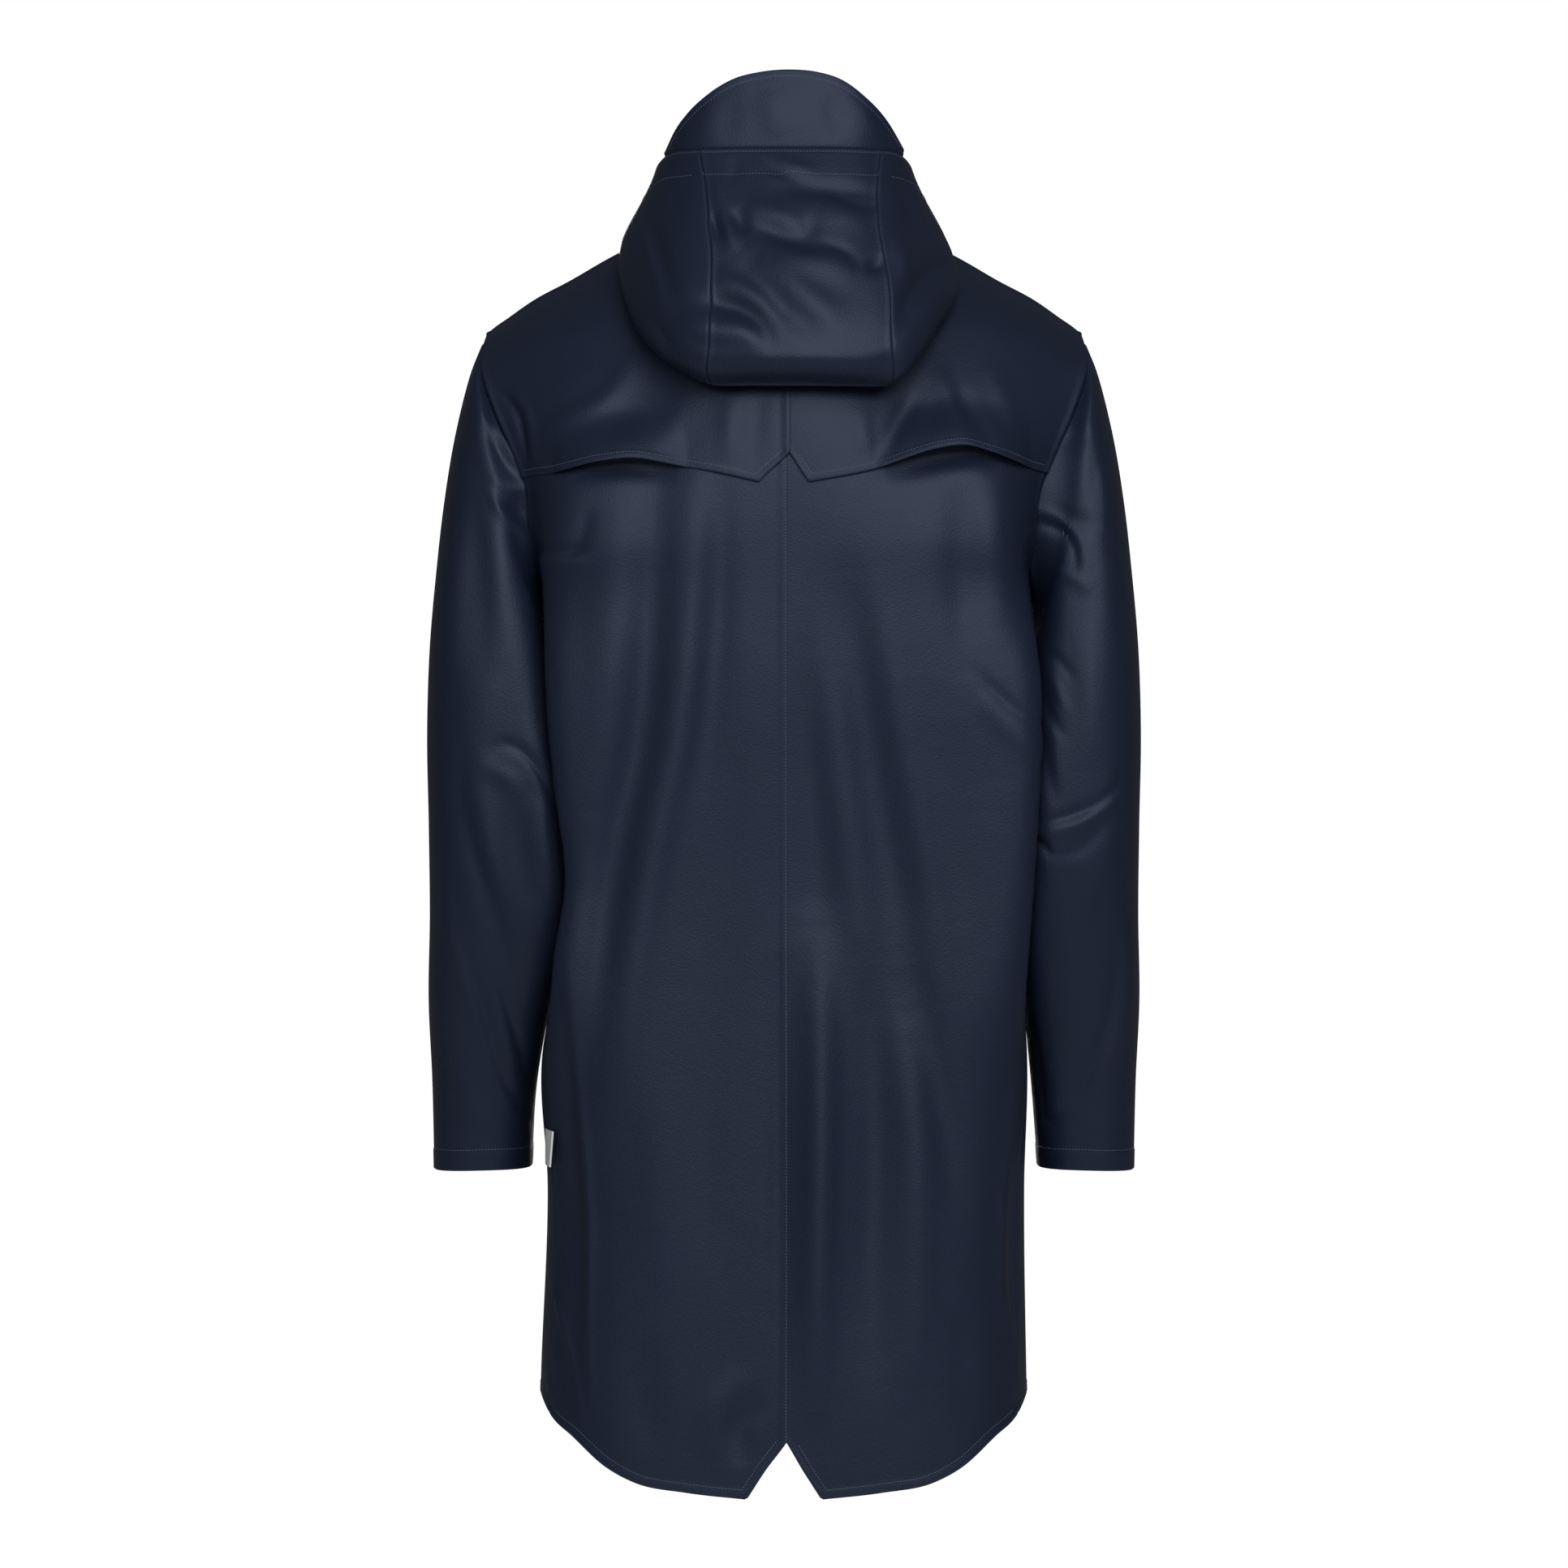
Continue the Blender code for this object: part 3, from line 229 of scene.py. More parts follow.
def lengthsOf(points):
    steps = np.linalg.norm(np.diff(points, axis=0), axis=1)
    return np.concatenate(([0.0], np.cumsum(steps)))


def readLine(points, shares):
    # points at these shares of a polyline's length, for shares of any shape
    along = lengthsOf(points)
    along = along / along[-1]
    return np.stack([np.interp(shares, along, points[:, axis]) for axis in range(points.shape[1])], axis=-1)


def readTable(table, row, col):
    # points between the rows and columns of a table of points
    above = np.clip(row.astype(int), 0, table.shape[0] - 2)
    before = np.clip(col.astype(int), 0, table.shape[1] - 2)
    down = (row - above)[..., None]
    on = (col - before)[..., None]
    upper = table[above, before] * (1 - on) + table[above, before + 1] * on
    lower = table[above + 1, before] * (1 - on) + table[above + 1, before + 1] * on
    return upper * (1 - down) + lower * down


def curveThrough(knots, count=samples["curve"]):
    knots = np.asarray(knots, dtype=float)
    chords = lengthsOf(knots)
    return smooth(np.linspace(0.0, chords[-1], count), chords, knots)


# where the first grid lines in from a seam or an edge lie
nearEdge = np.array((0.0, 0.0004, 0.0009, 0.0015, 0.0023, 0.0034, 0.0050))


def closeEnds(length, cell, first=True, last=True):
    # shares along a length, closer together at seams and edges
    start = nearEdge if first else nearEdge[:1]
    end = nearEdge if last else nearEdge[:1]
    inner = np.linspace(start[-1], length - end[-1], max(3, round(length / cell)))[1:-1]
    return np.concatenate((start, inner, length - end[::-1])) / length


def sideways(points, side):
    return points * np.array([side, 1.0, 1.0])


def unit(vectors):
    return vectors / np.maximum(np.linalg.norm(vectors, axis=-1, keepdims=True), 1e-12)


def normalsOf(grid, hint):
    # unit normals of a grid, on the side that hint points to
    normals = unit(np.cross(np.gradient(grid, axis=1), np.gradient(grid, axis=0)))
    return normals * np.sign(np.sum(normals * hint, axis=2).mean())


def edgeDistance(grid, edge):
    # distance along the cloth from one edge of a grid
    axis = 1 if edge in ("left", "right") else 0
    steps = np.linalg.norm(np.diff(grid, axis=axis), axis=2)
    if edge in ("right", "bottom"):
        steps = np.flip(steps, axis)
    total = np.cumsum(steps, axis=axis)
    zero = np.zeros_like(np.take(total, [0], axis=axis))
    total = np.concatenate((zero, total), axis=axis)
    return np.flip(total, axis) if edge in ("right", "bottom") else total


def edgeDistances(grid):
    return [edgeDistance(grid, edge) for edge in ("left", "right", "top", "bottom")]


bendLook = {"still": 0.002, "free": 0.030}     # distances from the side edge


def settle(grid, middleRow, reach, passes):
    # even out a change of direction between two stretches of rows, away from the side edge
    grid = grid.copy()
    rows = np.arange(len(grid))
    weight = np.clip(1 - np.abs(rows - middleRow) / reach, 0.0, 1.0)[1:-1, None, None] * 0.5
    weight = weight * stepUp(edgeDistance(grid, "right")[1:-1, :, None], bendLook["still"], bendLook["free"])
    for _ in range(passes):
        grid[1:-1] += weight * ((grid[:-2] + grid[2:]) / 2 - grid[1:-1])
    return grid


def seenFlat(grid):
    # where points show on the flat plane of the neck, seen from the eye
    scale = coat["eyeAway"] / (coat["eyeAway"] - grid[..., 1])
    return grid[..., 0] * scale, coat["eyeZ"] + (grid[..., 2] - coat["eyeZ"]) * scale


# A fold is a ridge, or a trough where its height is negative, along a smooth line of (x, z)
# places. Sharp 0 is a soft roll and 1 a crease.
Fold = namedtuple("Fold", "height width sharp line")
foldShape = {"tip": 0.03, "taper": 0.75, "reach": 3.4, "creaseRate": 1.7, "steps": 26}


def foldRows(*rows):
    # rows of millimetres on the flat plane: height, width, sharp and the line's places
    return [Fold(height / 1000, width / 1000, sharp, curveThrough(np.array(line) / 1000, foldShape["steps"]))
            for height, width, sharp, *line in rows]


def nearestOnLine(line, along, x, z):
    # distance to a line and the length along it, for each point
    best = np.full_like(x, np.inf)
    place = np.zeros_like(x)
    for start, end, before, after in zip(line[:-1], line[1:], along[:-1], along[1:]):
        step = end - start
        t = ((x - start[0]) * step[0] + (z - start[1]) * step[1]) / np.dot(step, step)
        t = np.clip(t, 0.0, 1.0)
        distance = np.hypot(x - start[0] - t * step[0], z - start[1] - t * step[1])
        closer = distance < best
        best = np.where(closer, distance, best)
        place = np.where(closer, before + t * (after - before), place)
    return best, place


def foldField(folds, x, z):
    # how far folds push the cloth out at flat places
    total = np.zeros_like(x)
    for fold in folds:
        low = fold.line.min(axis=0) - foldShape["reach"] * fold.width
        high = fold.line.max(axis=0) + foldShape["reach"] * fold.width
        near = (x > low[0]) & (x < high[0]) & (z > low[1]) & (z < high[1])
        if near.any():
            along = lengthsOf(fold.line)
            away, place = nearestOnLine(fold.line, along, x[near], z[near])
            turn = foldShape["tip"] + (1 - 2 * foldShape["tip"]) * place / along[-1]
            taper = np.sin(math.pi * turn) ** foldShape["taper"]
            soft = bump(away, fold.width)
            crease = np.exp(-foldShape["creaseRate"] * away / fold.width)
            total[near] += fold.height * taper * (soft + (crease - soft) * fold.sharp)
    return total


def ridge(distance, shape):
    # a raised line, or a sunk one, inside an edge; shape is its height, place and width
    height, inside, width = shape
    return height * bump(distance - inside, width)


def edgeRoll(distance, depth=0.0010, width=0.0022):
    # a seam's edge turned down into the groove
    return -depth * (1 - np.clip(distance / width, 0.0, 1.0)) ** 2


hemLook = {"turnEnd": (-0.0004, 0.0014), "dip": (-0.00035, 0.0, 0.0009), "roll": (0.0005, 0.0010)}


def hemBand(distance, stitchAt, rise=0.0004):
    # a turned-up hem is thicker, with a dip under its stitches
    start, end = hemLook["turnEnd"]
    band = rise * (1 - stepUp(distance, stitchAt + start, stitchAt + end))
    return band + ridge(distance - stitchAt, hemLook["dip"]) + edgeRoll(distance, *hemLook["roll"])


pieces = {}


def addObject(name, data):
    # a new object in the scene
    made = bpy.data.objects.new(name, data)
    bpy.context.scene.collection.objects.link(made)
    return made


def makeSheet(name, grid, outward, wear=None, wall=coat["wall"], finishes=("coatedCloth", "backing")):
    # a grid of outer points as a closed wall of cloth, with its backing on the inside
    down, across = grid.shape[:2]
    middle = (down // 2, across // 2)
    toRight = grid[middle[0], middle[1] + 1] - grid[middle]
    toBelow = grid[middle[0] + 1, middle[1]] - grid[middle]
    corner = np.arange(down * across).reshape(down, across)
    quads = (corner[:-1, :-1], corner[1:, :-1], corner[1:, 1:], corner[:-1, 1:])
    faces = np.stack(quads, axis=-1).reshape(-1, 4)
    if np.dot(np.cross(toRight, toBelow), normalsOf(grid, outward)[middle]) > 0:
        faces = faces[:, ::-1]
    mesh = bpy.data.meshes.new(name)
    mesh.from_pydata(grid.reshape(-1, 3).tolist(), [], faces.tolist())
    marks = mesh.attributes.new("edgeWear", "FLOAT", "POINT")
    worn = np.zeros(down * across) if wear is None else wear.ravel()
    marks.data.foreach_set("value", worn.astype(np.float32))
    for finish in finishes:
        mesh.materials.append(materials[finish])
    sheet = addObject(name, mesh)
    solid = sheet.modifiers.new("wall", "SOLIDIFY")
    solid.thickness = wall
    solid.offset = -1.0
    solid.material_offset = 1
    bakeModifiers(sheet)


def bakeModifiers(piece, sharpAngle=50):
    # the evaluated shape as a plain mesh
    ready = piece.evaluated_get(bpy.context.evaluated_depsgraph_get())
    mesh = bpy.data.meshes.new_from_object(ready)
    piece.modifiers.clear()
    piece.data = mesh
    smoothFaces(piece, sharpAngle)


def smoothFaces(piece, sharpAngle):
    piece.data.shade_smooth()
    piece.data.set_sharp_from_angle(angle=math.radians(sharpAngle))
    pieces[piece.name] = piece


class Value:
    # one socket of a material, so that shader maths reads as plain expressions
    def __init__(self, finish, socket):
        self.finish = finish
        self.socket = socket

    def maths(self, operation, left, right):
        return self.finish.node("ShaderNodeMath", {"operation": operation}, {0: left, 1: right})

    def __add__(self, other):
        return self.maths("ADD", self, other)

    def __radd__(self, other):
        return self.maths("ADD", other, self)

    def __sub__(self, other):
        return self.maths("SUBTRACT", self, other)

    def __rsub__(self, other):
        return self.maths("SUBTRACT", other, self)

    def __mul__(self, other):
        return self.maths("MULTIPLY", self, other)

    def __rmul__(self, other):
        return self.maths("MULTIPLY", other, self)


class Finish:
    # a material whose nodes are made by one method
    def __init__(self, name, constants):
        self.material = bpy.data.materials.new(name)
        self.material.use_nodes = True
        self.tree = self.material.node_tree
        self.shader = self.tree.nodes["Principled BSDF"]
        self.surface(constants)

    def node(self, kind, settings=None, sockets=None, output=0):
        made = self.tree.nodes.new(kind)
        for name, value in (settings or {}).items():
            setattr(made, name, value)
        for name, value in (sockets or {}).items():
            self.feed(made.inputs[name], value)
        return Value(self, made.outputs[output])

    def feed(self, socket, value):
        if isinstance(value, Value):
            self.tree.links.new(value.socket, socket)
        else:
            socket.default_value = value

    def surface(self, values):
        for name, value in values.items():
            self.feed(self.shader.inputs[name], value)

    def place(self):
        return self.node("ShaderNodeTexCoord", output="Object")

    def noise(self, scale, detail):
        return self.node("ShaderNodeTexNoise", {}, {"Vector": self.place(), "Scale": scale, "Detail": detail})

    def bands(self, direction, scale, distortion=0.0):
        return self.node("ShaderNodeTexWave", {"wave_type": "BANDS", "bands_direction": direction},
                         {"Vector": self.place(), "Scale": scale, "Distortion": distortion}, "Fac")

    def blend(self, share, tones):
        sockets = {0: share, 6: tones[0], 7: tones[1]}
        return self.node("ShaderNodeMix", {"data_type": "RGBA"}, sockets, output=2)

    def relief(self, height):
        # height in metres
        return self.node("ShaderNodeBump", {}, {"Height": height, "Distance": 1.0})

    def patterned(self, pattern, look):
        # one pattern mixes the two tones and stands up from the surface
        self.surface({"Base Color": self.blend(pattern, look["tones"]),
                      "Normal": self.relief(pattern * look["height"])})
        return self.material


clothLook = {
    "tones": ((0.0098, 0.0152, 0.0345, 1.0), (0.0150, 0.0225, 0.0480, 1.0)),    # deep and worn
    "wornFrom": 0.12,
    "broadShare": 0.5,
    "wearShare": 0.5,
    "grainShare": 0.25,
    "roughness": 0.50,
    "roughnessSpread": 0.07,
    "wearRoughness": 0.06,
    "specular": 0.42,
    "sheenTint": (0.64, 0.77, 1.0, 1.0),
    "broadScale": 5.0,
    "broadDetail": 3.0,
    "grainScale": 640.0,
    "grainDetail": 1.5,
    "grainHeight": 0.000210,
    "rippleScale": 26.0,
    "rippleDetail": 2.0,
    "rippleHeight": 0.00045,
}


def makeCoatedCloth(look):
    shine = {"Specular IOR Level": look["specular"], "Specular Tint": look["sheenTint"]}
    finish = Finish("coatedCloth", shine)
    broad = finish.noise(look["broadScale"], look["broadDetail"])
    grain = finish.noise(look["grainScale"], look["grainDetail"])
    ripple = finish.noise(look["rippleScale"], look["rippleDetail"])
    wear = finish.node("ShaderNodeAttribute", {"attribute_name": "edgeWear"}, output="Fac")
    share = broad * look["broadShare"] + wear * look["wearShare"] + grain * look["grainShare"]
    spread = (broad - 0.5) * look["roughnessSpread"]
    finish.surface({
        "Base Color": finish.blend(share - look["wornFrom"], look["tones"]),
        "Roughness": look["roughness"] + spread + wear * look["wearRoughness"],
        "Normal": finish.relief(grain * look["grainHeight"] + ripple * look["rippleHeight"]),
    })
    return finish.material


backingLook = {
    "tones": ((0.010, 0.015, 0.026, 1.0), (0.022, 0.030, 0.048, 1.0)),
    "roughness": 0.85,
    "specular": 0.2,
    "ribScale": 260.0,
    "loopScale": 330.0,
    "waver": 1.2,
    "height": 0.00012,
}


def makeBacking(look):
    # fine knit on the inside
    finish = Finish("backing", {"Roughness": look["roughness"], "Specular IOR Level": look["specular"]})
    ribs = finish.bands("X", look["ribScale"], look["waver"])
    loops = finish.bands("Z", look["loopScale"], look["waver"])
    return finish.patterned(ribs * loops, look)


threadLook = {
    "tones": ((0.10, 0.13, 0.18, 1.0), (0.20, 0.24, 0.31, 1.0)),
    "roughness": 0.6,
    "twistScale": 2600.0,
    "height": 0.00004,
}


def makeThread(look):
    finish = Finish("thread", {"Roughness": look["roughness"]})
    return finish.patterned(finish.noise(look["twistScale"], 1.0), look)


tapeLook = {
    "tones": ((0.70, 0.70, 0.69, 1.0), (0.86, 0.86, 0.85, 1.0)),
    "roughness": 0.75,
    "acrossScale": 620.0,
    "alongScale": 480.0,
    "height": 0.00006,
}


def makeTape(look):
    # bare white woven tape
    finish = Finish("whiteTape", {"Roughness": look["roughness"]})
    weave = finish.bands("Y", look["acrossScale"]) * 0.5 + finish.bands("Z", look["alongScale"]) * 0.5
    return finish.patterned(weave, look)


plasticLook = {
    "tones": ((0.009, 0.012, 0.019, 1.0), (0.016, 0.020, 0.030, 1.0)),
    "roughness": 0.30,
    "roughnessSpread": 0.14,
    "speckleScale": 900.0,
    "height": 0.00001,
}


def makeSnapPlastic(look):
    finish = Finish("snapPlastic", {})
    speckle = finish.noise(look["speckleScale"], 2.0)
    finish.surface({"Roughness": look["roughness"] + speckle * look["roughnessSpread"]})
    return finish.patterned(speckle, look)


paintLook = {
    "tones": ((0.74, 0.74, 0.74, 1.0), (0.78, 0.78, 0.78, 1.0)),
    "roughness": 0.9,
    "mottleScale": 2.0,
}


def makePaint(look):
    finish = Finish("palePaint", {"Roughness": look["roughness"]})
    finish.surface({"Base Color": finish.blend(finish.noise(look["mottleScale"], 2.0), look["tones"])})
    return finish.material


materials = {
    "coatedCloth": makeCoatedCloth(clothLook),
    "backing": makeBacking(backingLook),
    "thread": makeThread(threadLook),
    "whiteTape": makeTape(tapeLook),
    "snapPlastic": makeSnapPlastic(plasticLook),
    "palePaint": makePaint(paintLook),
}
print("finishes made")


def quarterLine(side, z, front):
    # dense quarter of the body's section at height z, from the centre to the side
    at = rowAt(bodyLevels, z)
    width = at.left if side > 0 else at.right
    depth = at.front if front else at.back
    power = 2.0 / at.square
    turn = np.linspace(0.0, math.pi / 2, samples["quarter"])
    y = depth * np.cos(turn) ** power
    x = width * np.sin(turn) ** power
    away = (-y if front else y) - dent["y"]
    pressed = at.dent / width * np.exp(-(away / dent["reach"]) ** dent["power"])
    return x * (1 - pressed), y, at.seamY


def sectionLine(side, z, front):
    # the stretch of the section that one piece covers, from the centre to the side seam
    x, y, seamY = quarterLine(side, z, False)
    seamX = np.interp(-seamY, -y, x)
    if front:
        frontX, frontY, _ = quarterLine(side, z, True)
        beyond = y < seamY
        x = np.concatenate((frontX[:-1], x[beyond][::-1], [seamX]))
        y = np.concatenate((-frontY[:-1], y[beyond][::-1], [seamY]))
    else:
        keep = y > seamY
        x = np.append(x[keep], seamX)
        y = np.append(y[keep], seamY)
    return np.stack((x, y, np.full_like(x, z)), axis=1)


def bodyBelow(side, front, u, v):
    # the body from the underarm (v 0) to the hem (v 1), u from the centre to the side seam
    levels = np.linspace(coat["underarmZ"], coat["lowestZ"], samples["levels"])
    shares = np.linspace(0.0, 1.0, samples["line"])
    table = np.array([readLine(sectionLine(side, z, front), shares) for z in levels])
    z = coat["underarmZ"] + (hemHeights(side, front, u)[None, :] - coat["underarmZ"]) * v[:, None]
    row = (z - levels[0]) / (levels[1] - levels[0])
    return sideways(readTable(table, row, np.broadcast_to(u * (len(shares) - 1), z.shape)), side)


def hemHeights(side, front, u):
    line = readLine(sectionLine(side, coat["hemReadZ"], front), u)
    inFront, behind = (straightThenSmooth(rows, np.abs(line[:, 0]), "z") for rows in (frontHem, backHem))
    return np.where(line[:, 1] > 0, behind, inFront)


def straightThenSmooth(rows, x, name):
    # a straight line from the first row to the second, then a curve
    straight = np.interp(x, column(rows, "x"), column(rows, name))
    return np.where(x < rows[1].x, straight, smooth(x, column(rows[1:], "x"), column(rows[1:], name)))


def neckline(turn):
    # neck seam, turn 0 at the throat and 180 degrees at the nape
    angle = np.radians(turn)
    swing = -np.cos(angle)
    sideX, sideY, sideZ = coat["neckSide"]
    reach = np.where(swing > 0, coat["neckBackY"] - sideY, sideY - coat["neckFrontY"])
    rise = np.where(swing > 0, 0.0, coat["neckFrontZ"])
    y = sideY + reach * swing
    z = sideZ + (rise - sideZ) * swing ** 2
    return np.stack((sideX * np.sin(angle), y, z), axis=-1)


patchLook = {"calmPasses": 700, "calmDepth": 0.28}


def bodyAbove(side, front, u, v):
    # smooth patch above the underarm, filled in between its four edges
    u = np.broadcast_to(u, v.shape)
    across = u[..., None]
    down = v[..., None]
    turns = np.linspace(0.0 if front else 180.0, 90.0, samples["neck"])
    top = np.vstack((neckline(turns), curveThrough(shoulder)[1:]))
    top = readLine(top, np.linspace(0.0, 1.0, samples["curve"]))
    calm = top.copy()
    for _ in range(patchLook["calmPasses"]):
        calm[1:-1] = (calm[:-2] + 2 * calm[1:-1] + calm[2:]) / 4
    settled = stepUp(down, 0.0, patchLook["calmDepth"])
    base = sectionLine(side, coat["underarmZ"], front)
    middle = curveThrough(centreFront if front else centreBack)
    corners = ((1 - across) * (1 - down) * top[0] + across * (1 - down) * top[-1]
               + (1 - across) * down * base[0] + across * down * base[-1])
    edge = readLine(top, u) * (1 - settled) + readLine(calm, u) * settled
    patch = ((1 - down) * edge + down * readLine(base, u)
             + (1 - across) * readLine(middle, v) + across * readLine(armholeLine(side, front), v) - corners)
    return sideways(patch, side)


def armholeLine(side, front):
    # one half of the armhole, from the shoulder to the top of the side seam
    tip = tuple(sectionLine(side, coat["underarmZ"], False)[-1])
    return curveThrough((*(armholeFront if front else armholeBack), tip))


def yokeDrop(side, u):
    # how far down the patch the yoke flap's edge lies in each column
    v = np.linspace(0.0, 1.0, samples["line"])
    patch = bodyAbove(side, False, u, np.repeat(v[:, None], len(u), axis=1))
    above = patch[..., 2] - straightThenSmooth(yokeEdge, np.abs(patch[..., 0]), handOf(side))
    return np.array([np.interp(0.0, -above[:, k], v) for k in range(len(u))])


def handOf(side):
    return "left" if side > 0 else "right"


def sided(name, side):
    return name + handOf(side).capitalize()


def wholePanel(side, front, u, v, look):
    # half of the back or the front, from v's first share above the underarm down to the hem
    upper = bodyAbove(side, front, u, v)
    lower = bodyBelow(side, front, u, closeEnds(look["length"], look["cell"], first=False))
    return settle(np.vstack((upper, lower)), len(v), look["bendRows"], look["bendPasses"])


def armholeRidge(fromSide, underarmRow, look):
    # the armhole's seam allowance raises the cloth beside it
    start, end = look["ridgeRows"]
    share = 1 - stepUp(np.arange(len(fromSide))[:, None], underarmRow + start, underarmRow + end)
    return share * ridge(fromSide, look["ridge"])


def pushOut(grid, outward, amount):
    # move a grid's points along its normals
    return grid + normalsOf(grid, outward) * amount[..., None]


def facingShare(grid, outward, facing, start=0.05, full=0.45):
    # 1 where the cloth faces the eye, 0 where it faces away
    return stepUp(normalsOf(grid, outward)[..., 1] * facing, start, full)


def moveCentreEdge(grid, edgeX, reach=0.03):
    # slide the columns near the centre so that the panel ends at edgeX
    distance = edgeDistance(grid, "left")
    grid = grid.copy()
    grid[..., 0] += (edgeX - grid[:, :1, 0]) * (1 - stepUp(distance, 0.0, reach))
    return grid


def wearOf(*distances, width=0.0022):
    return np.clip(sum(bump(distance, width) for distance in distances), 0.0, 1.0)


# Ridges are (height, distance in from the edge, width), and rolls are (depth, width).
backLook = {
    "cell": coat["cell"],
    "outward": (0.3, 1.0, 0.0),
    "tuck": 0.15,             # hidden part under the yoke, as a part of the armhole's height
    "upperRows": 60,
    "width": 0.215,
    "length": 0.690,
    "bendRows": 16,
    "bendPasses": 80,
    "edgeX": -0.0024,         # the left half laps over the right one
    "underEdgeX": -0.0012,
    "lapRoll": (0.0004, 0.0006),
    "underRoll": (0.0003, 0.0012),
    "welt": 0.0024,
    "weltRise": 0.0007,
    "weltEnd": (-0.0006, 0.0008),
    "weltTopZ": -0.172,       # its stitches start under the yoke's edge
    "weltStitch": 0.0008,
    "ridge": (0.0011, 0.0030, 0.0018),
    "ridgeRows": (-6, 2),
    "hemStitch": 0.0070,
    "cut": (0.22, 0.86, 0.178),
}
backFolds = foldRows(
    # hollows under the lifted flap
    (-5.0, 9, 0, (170, -180), (150, -175), (124, -172), (104, -174), (82, -177)),
    (-6.0, 10, 0, (-78, -177), (-104, -169), (-127, -164), (-150, -163), (-172, -172)),
    # the sheet stays flat right up to the sleeves
    (10.0, 24, 0, (190, -180), (187, -330), (187, -450), (192, -620)),
    (6.0, 20, 0, (-192, -190), (-196, -340), (-194, -480), (-194, -620)),
    # left half, from the centre outwards
    (5.2, 16, 0, (70, -176), (74, -300), (84, -390), (97, -450), (108, -510), (120, -590), (132, -670)),
    (-2.6, 12, 0, (49, -183), (50, -240), (52, -290), (58, -360), (66, -420)),
    (-5.6, 15, 0, (100, -180), (105, -300), (114, -390), (127, -450), (138, -510), (150, -590), (160, -660)),
    (3.0, 20, 0, (130, -200), (136, -290), (142, -370), (150, -440)),
    (-2.2, 7, 0.3, (150, -206), (156, -224), (163, -238), (172, -246)),
    (-2.6, 4.5, 0.5, (196, -241), (183, -239), (168, -239), (152, -236)),
    (1.8, 6, 0.2, (193, -249), (174, -246), (155, -247)),
    (2.2, 16, 0, (160, -500), (160, -580), (164, -660)),
    (1.6, 18, 0, (26, -260), (24, -360), (22, -470), (30, -580)),
    (-1.4, 16, 0, (44, -520), (56, -610), (62, -700), (60, -780)),
    (1.4, 18, 0, (92, -640), (98, -720), (96, -820)),
    # the deep fold right of the centre seam, facing the wearer's left
    (-2.4, 9, 0, (3, -560), (3, -640), (3, -730), (3, -830), (3, -900)),
    (9.0, 15, 0, (-26, -530), (-28, -620), (-28, -710), (-26, -800), (-24, -900)),
    (-2.4, 14, 0, (-14, -300), (-16, -370), (-22, -440), (-26, -500), (-24, -570)),
    (2.6, 15, 0, (-38, -330), (-44, -400), (-52, -470), (-58, -540), (-60, -600)),
    # right half
    (-4.6, 15, 0, (-66, -560), (-70, -640), (-71, -720), (-68, -800), (-70, -880)),
    (3.6, 15, 0, (-98, -620), (-104, -720), (-104, -800), (-100, -890)),
    (-3.6, 16, 0, (-46, -260), (-56, -330), (-70, -420), (-86, -510), (-98, -590)),
    (3.0, 15, 0, (-72, -250), (-84, -330), (-100, -420), (-116, -510), (-126, -590)),
    (-3.6, 15, 0, (-96, -560), (-112, -620), (-126, -690), (-136, -760)),
    (-3.4, 16, 0, (-140, -176), (-139, -246), (-141, -302), (-148, -340)),
    (2.6, 15, 0, (-164, -190), (-166, -250), (-170, -300)),
    (-1.8, 5, 0.3, (-145, -328), (-166, -350), (-184, -366), (-204, -378)),
    (1.5, 9, 0, (-151, -350), (-170, -372), (-186, -389), (-203, -401)),
    (1.6, 16, 0, (-160, -440), (-166, -530), (-168, -620)),
    (-1.6, 14, 0, (-142, -820), (-140, -880), (-146, -925)),
    # hem, corners and side faces
    (-2.4, 11, 0, (16, -896), (34, -916), (32, -950)),
    (1.8, 11, 0, (30, -876), (52, -904), (56, -945)),
    (-1.8, 14, 0, (112, -850), (108, -900), (100, -940)),
    (3.4, 5, 0.5, (167, -561), (160, -658), (155, -706), (151, -769), (152, -844), (150, -901)),
    (-4.0, 9, 0, (175, -567), (168, -658), (164, -724), (163, -819), (164, -895)),
    (3.0, 5, 0.5, (-180, -649), (-175, -687), (-171, -738), (-172, -830), (-179, -863)),
    (-2.6, 8, 0, (-187, -693), (-182, -743), (-181, -819), (-186, -869)),
    (1.8, 2.6, 0.6, (184, -775), (178, -813), (171, -844), (160, -891), (157, -920)),
    (1.2, 2.2, 0.6, (186, -860), (183, -882), (179, -901)),
    (1.6, 2.4, 0.6, (-185, -800), (-182, -850), (-180, -891)),
)


def weltOf(grid, look):
    # the lapping edge of the left half lies on its own seam allowance
    start, end = look["weltEnd"]
    return look["weltRise"] * (1 - stepUp(grid[..., 0], look["welt"] + start, look["welt"] + end))


